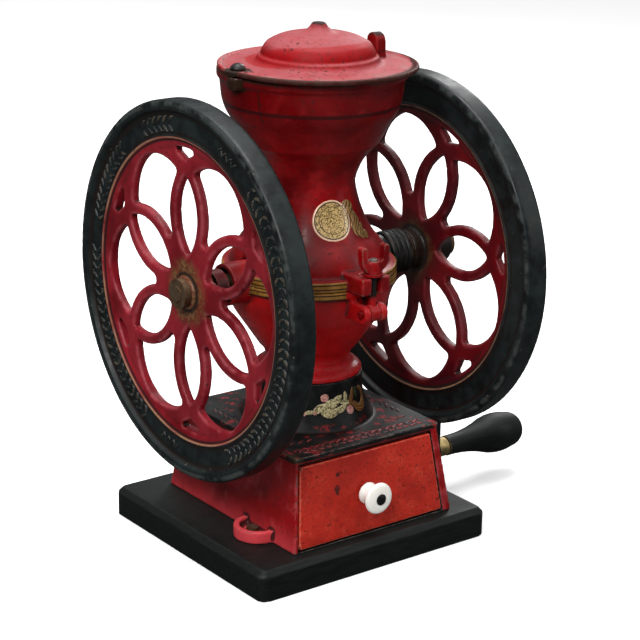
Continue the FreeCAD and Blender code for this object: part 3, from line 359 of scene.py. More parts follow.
def wheel_enamel(name, deep, light, worn, oil_and_shade=0.0):
    """Green-black rim, crimson petals, a rubbed tan line between them and rust about the hub; crests
    lightened by wear and painted highlight, hollows and the crank hub darkened by painted shade.
    """
    paint = Paint(name, Specular_IOR_Level=0.22)
    edge = paint.edge()
    x, y, z = paint.split()
    rise = paint.calc("SUBTRACT", z, SHAFT_LEVEL)
    radius = radius_about(paint, y, rise)
    broad, patch, fine = paint.noise(22, 4), paint.noise(85, 5, 0.62), paint.noise(460, 4)
    red = paint.mix(paint.step(broad, 0.35, 0.66), deep, light)
    # Partly wear, partly painted highlight: convex petal edges and crests lightened.
    rubbed_and_highlit = paint.both(paint.step(edge, 0.1, 0.6), paint.step(patch, 0.36, 0.6))
    red = paint.mix(paint.both(rubbed_and_highlit, 0.5), red, worn)
    black = paint.mix(paint.step(patch, 0.35, 0.7), BLACK, GREEN_BLACK)
    black = paint.mix(paint.both(paint.step(broad, 0.45, 0.7), 0.3), black, (0.022, 0.031, 0.029))
    lip = paint.both(paint.band(radius, 0.1335, 0.0010, 0.0012), paint.step(patch, 0.42, 0.6))
    black = paint.mix(paint.both(lip, 0.4), black, (0.070, 0.078, 0.072))
    wavy = paint.ragged(radius, patch, 0.0012)
    colour = paint.mix(paint.step(wavy, RIM_START - 0.0004, RIM_START + 0.0004), red, black)
    line = paint.both(
        paint.band(wavy, RIM_START - 0.0012, 0.0005, 0.0009),
        paint.step(paint.noise(40, 4), 0.3, 0.55), paint.step(edge, -0.1, 0.25), 0.85,
    )
    colour = paint.mix(line, colour, WORN_TAN)
    frayed = paint.ragged(radius, paint.noise(60, 5, 0.7), 0.034)
    hub = paint.both(paint.step(frayed, 0.015, 0.027, 1.0, 0.0), paint.step(patch, 0.30, 0.55, 0.4, 1.0))
    rusty = paint.mix(paint.step(fine, 0.35, 0.65), (0.055, 0.030, 0.010), (0.17, 0.10, 0.035))
    colour = paint.mix(paint.both(hub, 0.75), colour, rusty)
    # Oil and painted shade: near black about the hub on both faces of the wheel, standing for oil and for
    # the shade there.
    behind = paint.calc("MAXIMUM", paint.step(x, 0.0995, 0.0985), paint.step(x, 0.1120, 0.1130))
    oil_and_shade_mask = paint.both(paint.step(frayed, 0.020, 0.036, 1.0, 0.0), behind, oil_and_shade)
    colour = paint.mix(oil_and_shade_mask, colour, (0.005, 0.003, 0.003))
    # Painted shade: concave places darkened, as where shade falls, joined with real grime specks.
    crevice_shade = paint.both(paint.step(edge, -0.04, -0.35), 0.9)
    specks = paint.both(paint.step(fine, 0.62, 0.70), paint.step(broad, 0.40, 0.6))
    colour = paint.mix(paint.calc("MAXIMUM", crevice_shade, paint.both(specks, 0.85)), colour, GRIME_AND_SHADE)
    on_rim = paint.step(radius, RIM_START, RIM_START + 0.002)
    pale = paint.both(paint.step(paint.noise(330, 3), 0.72, 0.75), on_rim, 0.55)
    colour = paint.mix(pale, colour, (0.30, 0.26, 0.19))
    ragged = paint.ragged(edge, paint.noise(230, 5, 0.7), 1.8)
    chip = paint.both(paint.step(ragged, 0.95, 1.1), 0.7)
    colour = paint.mix(chip, colour, paint.mix(broad, BARE_IRON, WORN_TAN))
    paint.set("Base Color", colour)
    paint.set("Roughness", paint.blend(paint.step(patch, 0.3, 0.75), 0.34, 0.55))
    paint.set("Normal", casting_bump(paint, 0.0002, 0.00009))
    return paint.material


def base_enamel(name):
    """Deep red sides under a black top and neck that are worn through to red in flecks; the left wall
    lightened as painted light, painted shade in the drawer gap and hollows.
    """
    paint = Paint(name, Specular_IOR_Level=0.22)
    edge, up = paint.edge(), paint.up()
    x, y, height = paint.split()
    broad, patch, fine = paint.noise(24, 4), paint.noise(80, 5, 0.62), paint.noise(430, 4)
    red = paint.mix(paint.step(broad, 0.33, 0.66), CRIMSON_DEEP, CRIMSON)
    red = paint.mix(paint.both(paint.step(patch, 0.48, 0.7), 0.4), red, ROSE_FADE)
    rubbed = paint.both(paint.step(edge, 0.15, 0.6), paint.step(patch, 0.4, 0.6))
    red = paint.mix(paint.both(rubbed, 0.4), red, ROSE_FADE)
    # Painted light: the left side wall made much lighter, as where the key lamp falls on it.
    side = paint.both(paint.step(x, -0.070, -0.074), paint.step(broad, 0.25, 0.55, 0.55, 1.0))
    red = paint.mix(paint.both(side, 0.9), red, (0.62, 0.058, 0.070))
    worn = paint.both(
        paint.band(x, CORNER_X, 0.012, 0.010), paint.step(y, CORNER_Y + 0.018, CORNER_Y),
        paint.step(patch, 0.40, 0.52),
    )
    black = paint.mix(paint.step(patch, 0.35, 0.7), (0.003, 0.003, 0.003), (0.014, 0.016, 0.016))
    black = paint.mix(paint.both(worn, 0.8), black, (0.085, 0.060, 0.028))
    plate = paint.band(height, PLATE_LEVEL, 0.004, 0.002)
    flecks = paint.both(paint.step(paint.noise(120, 6, 0.7), 0.53, 0.60), paint.step(broad, 0.44, 0.54))
    black = paint.mix(paint.both(flecks, plate), black, (0.24, 0.012, 0.014))
    wavy = paint.ragged(height, patch, 0.002)
    colour = paint.mix(paint.step(wavy, PLATE_LEVEL - 0.0046, PLATE_LEVEL - 0.0036), red, black)
    # Painted shade: a near-black border round the drawer opening, standing in for the shade in the gap.
    narrowing = paint.both(paint.calc("SUBTRACT", height, DRAWER_LOW), DRAWER_TAPER)
    half_width = paint.calc("SUBTRACT", DRAWER_FOOT, narrowing)
    across = paint.calc("ABSOLUTE", paint.calc("SUBTRACT", x, DRAWER_X))
    beside = paint.calc("SUBTRACT", across, half_width)
    drawer_gap_shade = paint.both(
        paint.step(beside, 0.0016, 0.0012), paint.step(height, 0.0868, 0.0864),
        paint.step(y, -0.060, -0.066),
    )
    colour = paint.mix(drawer_gap_shade, colour, (0.004, 0.003, 0.003))
    # Painted shade: concave places darkened, as where shade falls, joined with real grime specks.
    crevice_shade = paint.both(paint.step(edge, -0.04, -0.35), 0.9)
    specks = paint.both(paint.step(fine, 0.61, 0.69), paint.step(broad, 0.42, 0.62))
    colour = paint.mix(paint.calc("MAXIMUM", crevice_shade, paint.both(specks, 0.8)), colour, GRIME_AND_SHADE)
    ragged = paint.ragged(edge, paint.noise(190, 5, 0.7), 1.8)
    chip = paint.both(paint.step(ragged, 0.9, 1.05), 0.7)
    colour = paint.mix(chip, colour, paint.mix(broad, BARE_IRON, (0.12, 0.09, 0.07)))
    paint.set("Base Color", colour)
    rough = paint.blend(paint.step(patch, 0.3, 0.75), 0.3, 0.5)
    paint.set("Roughness", paint.blend(paint.step(up, 0.4, 0.9), rough, 0.42))
    paint.set("Normal", casting_bump(paint))
    return paint.material


def pitted_enamel(name):
    """Orange-red enamel over a rough casting, with black pits and a rubbed border."""
    paint = Paint(name, Specular_IOR_Level=0.2)
    edge = paint.edge()
    broad, patch, fine = paint.noise(28, 4), paint.noise(95, 5, 0.65), paint.noise(520, 5, 0.65)
    colour = paint.mix(paint.step(broad, 0.35, 0.65), (0.30, 0.012, 0.006), DRAWER_RED)
    colour = paint.mix(paint.both(paint.step(patch, 0.5, 0.72), 0.4), colour, (0.56, 0.060, 0.028))
    colour = paint.mix(paint.both(paint.step(fine, 0.5, 0.6), 0.35), colour, (0.16, 0.006, 0.003))
    pits = paint.both(paint.step(fine, 0.585, 0.65), paint.step(patch, 0.42, 0.56))
    spots = paint.step(paint.cells(62), 0.20, 0.13)
    spots = paint.both(spots, paint.step(paint.noise(34, 3), 0.50, 0.56))
    holes = paint.calc("MAXIMUM", pits, spots)
    colour = paint.mix(paint.both(holes, 0.85), colour, GRIME_AND_SHADE)
    ragged = paint.ragged(edge, paint.noise(220, 5, 0.7), 1.9)
    chip = paint.step(ragged, 0.6, 0.8)
    colour = paint.mix(paint.both(chip, 0.55), colour, (0.56, 0.13, 0.08))
    colour = paint.mix(paint.both(paint.step(ragged, 1.0, 1.1), 0.8), colour, GRIME_AND_SHADE)
    paint.set("Base Color", colour)
    paint.set("Roughness", paint.blend(holes, paint.blend(patch, 0.3, 0.55), 0.8))
    rough_skin = paint.bump(paint.noise(330, 5, 0.7), 0.0004, 0.8)
    paint.set("Normal", paint.bump(holes, -0.0003, 0.8, rough_skin))
    return paint.material


def black_enamel(name, rough=0.32, wear=0.4):
    """Black enamel on iron, rubbed to bare metal on its ridges."""
    paint = Paint(name, Specular_IOR_Level=0.2)
    edge = paint.edge()
    patch, fine = paint.noise(110, 5, 0.62), paint.noise(520, 4)
    colour = paint.mix(paint.step(patch, 0.35, 0.7), (0.0025, 0.0025, 0.0025), (0.009, 0.009, 0.009))
    rubbed = paint.both(paint.step(edge, 0.3, 0.9), paint.step(patch, 0.42, 0.62))
    colour = paint.mix(paint.both(rubbed, wear), colour, BARE_IRON)
    colour = paint.mix(paint.both(paint.step(fine, 0.68, 0.76), wear), colour, RUST)
    paint.set("Base Color", colour)
    paint.set("Roughness", paint.blend(patch, rough, rough + 0.2))
    paint.set("Normal", casting_bump(paint, 0.00012, 0.00006))
    return paint.material


def painted_wood(name):
    """Satin black paint over wood: faint grain, rubbed edges, dents and pale specks."""
    paint = Paint(name, Specular_IOR_Level=0.18)
    edge = paint.edge()
    grain = paint.noise(9, 6, 0.6, paint.stretched(6, 60, 60))
    patch, fine = paint.noise(60, 5, 0.62), paint.noise(540, 4)
    colour = paint.mix(paint.step(grain, 0.3, 0.7), (0.0022, 0.0032, 0.0028), (0.0065, 0.0088, 0.0080))
    rubbed = paint.both(paint.step(edge, 0.15, 0.6), paint.step(patch, 0.36, 0.6))
    colour = paint.mix(paint.both(rubbed, 0.6), colour, (0.026, 0.032, 0.030))
    chip = paint.ragged(edge, paint.noise(150, 5, 0.7), 1.8)
    colour = paint.mix(paint.both(paint.step(chip, 1.05, 1.2), 0.8), colour, (0.16, 0.10, 0.06))
    colour = paint.mix(paint.both(paint.step(fine, 0.73, 0.78), 0.35), colour, (0.2, 0.2, 0.18))
    paint.set("Base Color", colour)
    paint.set("Roughness", paint.blend(patch, 0.42, 0.62))
    skin = paint.bump(grain, 0.00015, 0.6)
    paint.set("Normal", paint.bump(paint.noise(300, 4), 0.0001, 0.5, skin))
    return paint.material


def metal(name, colour, stain, rough, metallic=1.0, scale=160):
    """A dull old metal: stained in patches, with painted shade and grime in its hollows and a fine
    scratched skin.
    """
    paint = Paint(name, Metallic=metallic)
    patch, fine = paint.noise(scale, 5, 0.65), paint.noise(scale * 5, 4)
    shade = paint.mix(paint.step(patch, 0.38, 0.66), colour, stain)
    # Painted shade: concave places darkened, as where shade falls, with grime.
    shade = paint.mix(paint.both(paint.step(paint.edge(), -0.05, -0.4), 0.7), shade, GRIME_AND_SHADE)
    paint.set("Base Color", shade)
    paint.set("Roughness", paint.blend(patch, rough, min(rough + 0.25, 1.0)))
    skin = paint.bump(patch, 0.00015, 0.6)
    paint.set("Normal", paint.bump(fine, 0.00005, 0.6, skin))
    return paint.material


def glazed(name):
    """White porcelain, faintly crazed, with painted shade making it a little grey in the hollows."""
    paint = Paint(name, Roughness=0.12, Coat_Weight=0.6, Coat_Roughness=0.05, IOR=1.52)
    patch = paint.noise(120, 4)
    colour = paint.mix(paint.step(patch, 0.35, 0.7), (0.86, 0.85, 0.80), (0.78, 0.76, 0.69))
    crazing = paint.both(paint.step(paint.cells(420, "DISTANCE_TO_EDGE"), 0.04, 0.0), 0.16)
    colour = paint.mix(crazing, colour, (0.4, 0.36, 0.3))
    # Painted shade: concave places greyed, as where shade falls.
    colour = paint.mix(paint.both(paint.step(paint.edge(), -0.05, -0.5), 0.5), colour, (0.4, 0.36, 0.3))
    paint.set("Base Color", colour)
    paint.set("Normal", paint.bump(paint.noise(70, 3), 0.0001, 0.4))
    return paint.material


def new_piece(name, mesh, body, material):
    piece = bpy.data.objects.new(name, mesh)
    bpy.context.scene.collection.objects.link(piece)
    mesh.materials.clear()
    mesh.materials.append(material)
    for polygon in mesh.polygons:
        polygon.use_smooth = True
    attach(piece, body)
    return piece


def applied(piece):
    """The mesh with the modifiers of a loose object applied, and the object gone."""
    graph = bpy.context.evaluated_depsgraph_get()
    mesh = bpy.data.meshes.new_from_object(piece.evaluated_get(graph))
    bpy.data.objects.remove(piece)
    return mesh


def points_of(mesh):
    values = np.empty(len(mesh.vertices) * 3)
    mesh.vertices.foreach_get("co", values)
    return values.reshape(-1, 3)


def normals_of(mesh):
    values = np.empty(len(mesh.vertices) * 3)
    mesh.vertex_normals.foreach_get("vector", values)
    return values.reshape(-1, 3)


def links_of(mesh):
    """The two vertices of each edge."""
    links = np.empty(len(mesh.edges) * 2, int)
    mesh.edges.foreach_get("vertices", links)
    return links.reshape(-1, 2)


def moved_to(mesh, points):
    mesh.vertices.foreach_set("co", points.ravel())
    mesh.update()


def surface_of(mesh):
    """A search tree over a mesh's faces."""
    corners = [vertex.co for vertex in mesh.vertices]
    return BVHTree.FromPolygons(corners, [tuple(face.vertices) for face in mesh.polygons])


def relaxed(points, links, rounds, share=1.0):
    """Points drawn towards the mean of their neighbours, some rounds over."""
    first, second = links[:, 0], links[:, 1]
    count = np.bincount(np.concatenate([first, second]), minlength=len(points)).astype(float)
    count[count == 0] = 1
    moved = points.copy()
    for _ in range(rounds):
        mean = np.empty_like(moved)
        for axis in range(3):
            column = moved[:, axis]
            total = np.bincount(first, column[second], len(points))
            total += np.bincount(second, column[first], len(points))
            mean[:, axis] = total / count
        moved += (mean - moved) * share
    return moved


FULL_BULGE = 0.28  # the rise over its surroundings, as a share of reach, that counts as an edge


def mark_edges(mesh, reach):
    """Stores how convex the surface is over about this reach, for wear and grime."""
    links, points = links_of(mesh), points_of(mesh)
    spacing = np.linalg.norm(points[links[:, 0]] - points[links[:, 1]], axis=1).mean()
    rounds = max(2, int((reach / spacing) ** 2))
    away = points - relaxed(points, links, rounds)
    bulge = (away * normals_of(mesh)).sum(axis=1) / (FULL_BULGE * reach)
    attribute = mesh.attributes.new("edge", "FLOAT", "POINT")
    attribute.data.foreach_set("value", np.clip(bulge, -1.5, 1.5))


def settled(points, node):
    """Points moved to the nearest spot of a node's own surface."""
    tree = surface_of(NODES[node].data)
    return np.array([tree.find_nearest(Vector(point))[0] for point in points])


def uneven(point):
    """Broad and small lumps of a sand casting."""
    return noise.noise(point * 42) + 0.5 * noise.noise(point * 130)


def cast(node, voxel, rounds, lump=0.00012, more=None, reach=2.5 * MM):
    """A node's own shape as a casting: edges melted, faces a little uneven, never outside the node.

    more(points) gives a share of extra rounding for each point."""
    mesh = NODES[node].data.copy()
    loose = bpy.data.objects.new("loose", mesh)
    bpy.context.scene.collection.objects.link(loose)
    remesh = loose.modifiers.new("voxels", "REMESH")
    remesh.mode, remesh.voxel_size = "VOXEL", voxel
    mesh = applied(loose)
    links = links_of(mesh)
    points = relaxed(settled(points_of(mesh), node), links, rounds, 0.5)
    if more:
        share = more(points)[:, None]
        points = points * (1 - share) + relaxed(points, links, rounds * 3, 0.5) * share
    moved_to(mesh, points)
    sway = np.array([uneven(Vector(point)) for point in points])
    points -= normals_of(mesh) * (np.clip(sway * 0.5 + 0.5, 0, 1) * lump)[:, None]
    moved_to(mesh, points)
    mark_edges(mesh, reach)
    return mesh


def recast(node, material, voxel, rounds, **settings):
    """Replaces a CAD node by its casting."""
    mesh = cast(node, voxel, rounds, **settings)
    piece = new_piece(f"{node}_casting", mesh, BODY_OF[node], material)
    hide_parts(node)
    return piece


def finish_node(node, material):
    """Keeps a CAD node's own mesh and gives it its material."""
    slots = NODES[node].material_slots
    for index in range(len(slots)):
        slots[index].material = material
    if not len(slots):
        NODES[node].data.materials.append(material)


# ---------------------------------------------------------------- thin relief and decals
def strip(path, half_width, across=6, steps=14):
    """Rows of (s, t, u, v) over a band along a path: u runs along it and v from side to side.

    path(u) gives a point in millimetres and half_width(u) half the band's width there."""
    rows = []
    for step in range(steps + 1):
        u = step / steps
        here, ahead = Vector(path(u)), Vector(path(u + 0.01)) - Vector(path(u - 0.01))
        side = Vector((-ahead.y, ahead.x)).normalized() * half_width(u)
        rows.append([(*(here + side * v), u, v) for v in np.linspace(-1, 1, across + 1)])
    return rows


def leaf(centre, length, width, angle, bow=0.0):
    """A leaf's strip, pointed at both ends and bowed to one side."""
    along = Vector((math.cos(angle), math.sin(angle)))
    side = Vector((-along.y, along.x))

    def path(u):
        return Vector(centre) + along * (u - 0.5) * length + side * bow * math.sin(math.pi * u)

    return strip(path, lambda u: max(math.sin(math.pi * min(max(u, 0), 1)), 0.02) ** 0.7 * width / 2)


def dot(centre, radius, tall=1.0):
    """A round or oval spot as a strip along its own diameter."""
    def path(u):
        return Vector(centre) + Vector((0, (2 * u - 1) * radius * tall))

    return strip(path, lambda u: radius * math.sqrt(max(1 - (2 * u - 1) ** 2, 0.0004)), 8, 12)


def curl(centre, start, turn, inner, outer, thick):
    """A tapering scroll that winds from its outer radius to its inner one."""
    def path(u):
        angle, radius = start + turn * u, outer + (inner - outer) * u
        return Vector(centre) + Vector((math.cos(angle), math.sin(angle))) * radius

    def half_width(u):
        return thick * (0.25 + 0.75 * math.sin(math.pi * min(max(u, 0), 1) ** 0.7))

    return strip(path, half_width, 4, 26)


def crown(u, v, height):
    """Relief that swells from its outline to its middle line."""
    return height * min(1.0, 2.2 * math.sin(math.pi * u)) * math.sqrt(max(1 - v * v, 0)) - 0.0002


def level_skin(u, v, height):
    """A decal's swell: the same thickness all over."""
    return height


def relief(name, strips, place, body, material, height, swell=crown, depth=0.0006):
    """One closed mesh of raised strips. place(s, t) gives a surface point and its normal."""
    shape = bmesh.new()
    marks = [shape.verts.layers.float.new(layer) for layer in ("edge", "along", "over", "seed")]
    for number, rows in enumerate(strips):
        sheets = []
        for lift in (1, 0):
            sheet = []
            for row in rows:
                line = []
                for s, t, u, v in row:
                    point, normal = place(s, t)
                    rise = swell(u, v, height) if lift else -depth
                    vertex = shape.verts.new(point + normal * rise)
                    values = (swell(u, v, 1.0) * 0.9, u, v, (number * 0.37) % 1)
                    for mark, value in zip(marks, values):
                        vertex[mark] = value
                    line.append(vertex)
                sheet.append(line)
            sheets.append(sheet)
        front, back = sheets
        last_row, last_column = len(front) - 1, len(front[0]) - 1
        for i in range(last_row):
            for j in range(last_column):
                shape.faces.new((front[i][j], front[i][j + 1], front[i + 1][j + 1], front[i + 1][j]))
                shape.faces.new((back[i][j], back[i + 1][j], back[i + 1][j + 1], back[i][j + 1]))
        for i in range(last_row):
            for j in (0, last_column):
                shape.faces.new((front[i][j], front[i + 1][j], back[i + 1][j], back[i][j]))
        for j in range(last_column):
            for i in (0, last_row):
                shape.faces.new((front[i][j], back[i][j], back[i][j + 1], front[i][j + 1]))
    bmesh.ops.recalc_face_normals(shape, faces=shape.faces)
    mesh = bpy.data.meshes.new(name)
    shape.to_mesh(mesh)
    shape.free()
    return new_piece(name, mesh, body, material)


def on_casing(piece, azimuth, level):
    """Lays flat millimetres on a turned casting around a point given by azimuth and height."""
    tree = surface_of(piece.data)

    def cast_in(angle, z):
        outward = Vector((math.sin(angle), -math.cos(angle), 0))
        point, normal, _, _ = tree.ray_cast(outward * 0.15 + Vector((0, 0, z)), -outward)
        return point, normal

    start, _ = cast_in(azimuth, level)
    radius = math.hypot(start.x, start.y)
    rise, _ = cast_in(azimuth, level + 0.006)
    fall, _ = cast_in(azimuth, level - 0.006)
    share = (rise.z - fall.z) / (rise - fall).length

    def place(s, t):
        return cast_in(azimuth + s * MM / radius, level + t * MM * share)

    return place


# ---------------------------------------------------------------- floor, lights and camera
def floor():
    """A white sweep that looks dark to reflections, as a floor behind black flags does."""
    mesh = bpy.data.meshes.new("floor")
    shape = bmesh.new()
    bmesh.ops.create_grid(shape, x_segments=8, y_segments=8, size=9)
    shape.to_mesh(mesh)
    shape.free()
    plane = bpy.data.objects.new("floor", mesh)
    bpy.context.scene.collection.objects.link(plane)
    paint = Paint("pale_floor", Roughness=0.75)
    rays = paint.node("ShaderNodeLightPath").outputs
    tone = paint.mix(paint.noise(2.0, 2), (0.92, 0.92, 0.92), (0.95, 0.95, 0.95))
    tone = paint.mix(rays["Is Diffuse Ray"], tone, (0.30, 0.30, 0.30))
    paint.set("Base Color", paint.mix(rays["Is Glossy Ray"], tone, (0.025, 0.027, 0.028)))
    mesh.materials.append(paint.material)


def lamp(name, place, power, size, tall=None, aim=(0, 0, 0.2)):
    data = bpy.data.lights.new(name, "AREA")
    data.energy, data.size = power, size
    if tall:
        data.shape, data.size_y = "RECTANGLE", tall
    item = bpy.data.objects.new(name, data)
    item.location = place
    item.rotation_euler = (Vector(aim) - Vector(place)).to_track_quat("-Z", "Y").to_euler()
    bpy.context.scene.collection.objects.link(item)


def studio():
    """A dark room under a bright ceiling, with a large box light at the left front."""
    world = bpy.data.worlds.new("studio")
    world.use_nodes = True
    tree = world.node_tree
    background = tree.nodes["Background"]
    heading = tree.nodes.new("ShaderNodeTexCoord").outputs["Generated"]
    parts = tree.nodes.new("ShaderNodeSeparateXYZ")
    ramp = tree.nodes.new("ShaderNodeMapRange")
    ramp.interpolation_type = "SMOOTHSTEP"
    for socket, value in zip(ramp.inputs[1:5], (0.25, 0.98, 0.05, 1.3)):
        socket.default_value = value
    tree.links.new(heading, parts.inputs[0])
    tree.links.new(parts.outputs[2], ramp.inputs[0])
    tree.links.new(ramp.outputs[0], background.inputs["Strength"])
    background.inputs["Color"].default_value = (1.0, 1.0, 1.0, 1.0)
    bpy.context.scene.world = world
    lamp("key", (-1.6, -1.05, 1.6), 46, 0.7, 0.9)
    lamp("top", (0.1, 0.2, 2.2), 44, 1.1)
    lamp("side", (1.5, -1.3, 0.9), 6, 0.4, 1.0)
    lamp("back", (1.5, 1.0, 1.1), 14, 0.5, 0.9)
    bpy.context.scene.view_settings.view_transform = "Standard"


CAMERA_PLACE = Vector((-0.8447, -1.1190, 0.6203))
CAMERA_YAW, CAMERA_PITCH, CAMERA_ROLL = 37.41, -18.08, 1.09
CAMERA_LENS = 111.9


def camera():
    yaw, pitch, roll = (math.radians(a) for a in (CAMERA_YAW, CAMERA_PITCH, CAMERA_ROLL))
    ahead = Vector((math.sin(yaw) * math.cos(pitch), math.cos(yaw) * math.cos(pitch), math.sin(pitch)))
    right = Vector((math.cos(yaw), -math.sin(yaw), 0))
    over = right.cross(ahead)
    across = math.cos(roll) * right + math.sin(roll) * over
    above = math.cos(roll) * over - math.sin(roll) * right
    data = bpy.data.cameras.new("camera")
    data.lens, data.sensor_width = CAMERA_LENS, 36
    item = bpy.data.objects.new("camera", data)
    item.matrix_world = Matrix.LocRotScale(
        CAMERA_PLACE, Matrix((across, above, -ahead)).transposed().to_quaternion(), None
    )
    bpy.context.scene.collection.objects.link(item)
    bpy.context.scene.camera = item


# ---------------------------------------------------------------- ornament in place of lettering
def rim_ornament_paint(name):
    """The rim's black with brown-gold rubbed through on the crest of the relief."""
    paint = Paint(name, Roughness=0.5)
    edge, patch = paint.edge(), paint.noise(110, 5, 0.65)
    crest = paint.both(paint.step(edge, 0.45, 0.85), paint.step(patch, 0.46, 0.62))
    colour = paint.mix(paint.step(patch, 0.35, 0.7), BLACK, GREEN_BLACK)
    colour = paint.mix(paint.both(crest, 0.6), colour, (0.095, 0.065, 0.034))
    paint.set("Base Color", colour)
    paint.set("Normal", casting_bump(paint, 0.0001, 0.00006))
    return paint.material


def rim_ornament(wheel, side, material):
    """Groups of raised leaves and berries round the rim's channel, and two small sprigs."""
    face = WHEEL_X[wheel] + side * CHANNEL_HALF
    strips = []
    for first, last in ((42, 152), (207, 272), (285, 317), (335, 352)):
        count = round((last - first) / 3.3)
        for index in range(count + 1):
            angle = math.radians(first + (last - first) * index / count)
            arc = CHANNEL_MIDDLE * angle / MM
            strips.append(leaf((arc, 3.0), 7.6, 3.3, 0.85, 0.9))
            strips.append(leaf((arc, -3.0), 7.6, 3.3, -0.85, -0.9))
            if index % 2:
                strips.append(dot((arc + 2.6, 5.0), 0.9))
                strips.append(dot((arc + 2.6, -5.0), 0.9))
    for angle in (26, 190):
        arc = CHANNEL_MIDDLE * math.radians(angle) / MM
        for step in range(-3, 4):
            lean = 0.9 if step % 2 else 2.2
            strips.append(leaf((arc + step * 3.1, (step % 2) * 1.6 - 0.8), 5.5, 1.7, lean, 0.5))

    def place(s, t):
        angle, radius = s * MM / CHANNEL_MIDDLE, CHANNEL_MIDDLE + t * MM
        return (
            Vector((face, -math.sin(angle) * radius, SHAFT_LEVEL + math.cos(angle) * radius)),
            Vector((side, 0, 0)),
        )

    relief(f"{wheel}_ornament", strips, place, BODY_OF[wheel], material, 1.1 * MM)


def surface_below(piece):
    """The top surface of a casting at x and y in millimetres."""
    tree = surface_of(piece.data)

    def place(x, y):
        point, normal, _, _ = tree.ray_cast(Vector((x * MM, y * MM, 0.11)), Vector((0, 0, -1)))
        return point, normal

    return place


def plate_ornament(piece):
    """Raised leaves along the front and side margins of the base's top plate, rubbed to red."""
    strips = []
    for x in np.arange(-52, 53, 6.5):
        strips.append(leaf((x, -65.0), 8.0, 3.0, 0.5, 1.1))
        strips.append(leaf((x + 1.0, -68.6), 6.0, 2.4, -0.35, -0.8))
        strips.append(dot((x + 4.0, -62.6), 0.9))
    for x in (-50, -43, -36, 36, 43, 50):
        strips.append(leaf((x, -56.5 + 0.12 * abs(x)), 7.0, 2.4, 0.4 if x < 0 else 2.7, 0.8))
    for side in (-1, 1):
        for y in np.arange(-40, 44, 7.0):
            strips.append(leaf((side * 57.0, y), 8.0, 2.8, 1.2, 1.0))
            strips.append(dot((side * 53.4, y + 3.4), 0.9))
    worn = Paint("plate_relief_worn", Roughness=0.45)
    patch, edge = worn.noise(90, 5, 0.68), worn.edge()
    front = worn.step(worn.split()[1], -0.045, -0.055)
    rubbed = worn.both(worn.step(edge, 0.1, 0.6), worn.step(patch, 0.36, 0.5))
    colour = worn.mix(worn.both(rubbed, worn.blend(front, 0.25, 0.95)), BLACK, (0.20, 0.008, 0.008))
    worn.set("Base Color", colour)
    worn.set("Normal", casting_bump(worn))
    relief("plate_ornament", strips, surface_below(piece), "stand", worn.material, 0.9 * MM)


# ---------------------------------------------------------------- decals
def printed(name, dark, light, rim=None, scale=900, streak=False):
    """A varnished bronze or colour print: fine broken figures, no picture and no letters."""
    paint = Paint(name, Coat_Weight=0.5, Coat_Roughness=0.15)
    seed, along, over = paint.mark("seed"), paint.mark("along"), paint.mark("over")
    figure = paint.noise(scale, 4, 0.7)
    if streak:
        wave = paint.calc("SINE", paint.calc("ADD", paint.both(over, 9.0), paint.both(along, 14.0)))
        figure = paint.calc("ADD", paint.both(figure, 0.6), paint.both(wave, 0.2))
        figure = paint.calc("ADD", figure, 0.2)
    colour = paint.mix(paint.step(figure, 0.40, 0.58), dark, light)
    if rim:
        middle_line = paint.calc("SUBTRACT", paint.both(along, 2.0), 1.0)
        width = paint.calc("SQRT", paint.calc("SUBTRACT", 1.0, paint.both(middle_line, middle_line), True))
        reach = radius_about(paint, paint.both(over, width), middle_line)
        colour = paint.mix(paint.band(reach, 0.66, 0.012, 0.012), colour, dark)
        colour = paint.mix(paint.band(reach, 0.885, 0.02, 0.012), colour, GRIME_AND_SHADE)
        colour = paint.mix(paint.step(reach, 0.905, 0.925), colour, rim)
    colour = paint.mix(paint.both(paint.step(paint.noise(260, 5, 0.7), 0.60, 0.68), 0.7), colour, dark)
    paint.set("Base Color", paint.mix(paint.both(seed, 0.12), colour, dark))
    paint.set("Metallic", 0.25 if rim or streak else 0.0)
    paint.set("Roughness", 0.38)
    paint.set("Normal", paint.bump(figure, 0.00005, 0.5))
    return paint.material


def decal(name, strips, place, material):
    relief(name, strips, place, "stand", material, 0.16 * MM, level_skin, 0.25 * MM)


def medallion(piece):
    """A round gilt decal on the front of the upper casing, with a folded gilt banner beside it."""
    gold = printed("medallion_gilt", (0.10, 0.055, 0.012), (0.72, 0.50, 0.20), (0.78, 0.50, 0.34))
    disc = strip(
        lambda u: (0, (2 * u - 1) * MEDAL_RADIUS),
        lambda u: MEDAL_RADIUS * math.sqrt(max(1 - (2 * u - 1) ** 2, 0.0004)), 24, 40,
    )
    place = on_casing(piece, math.radians(-12), DECAL_LEVEL)
    decal("medallion_decal", [disc], place, gold)
    brown = printed("banner_gilt", (0.060, 0.022, 0.006), (0.36, 0.20, 0.055), streak=True, scale=700)
    banner = [
        dot((-1.5, 7.0), 6.6), leaf((2.0, 1.5), 13, 9.0, 1.9, 1.0),
        leaf((3.0, -3.5), 14, 8.0, 1.3, -1.2), leaf((3.5, -9.0), 15, 8.0, 2.0, 1.2),
        leaf((7.5, -11.5), 12, 6.0, 1.2, 1.0), dot((9.5, -14.5), 3.0),
    ]
    place = on_casing(piece, math.radians(13.0), DECAL_LEVEL)
    decal("banner_decal", banner, place, brown)


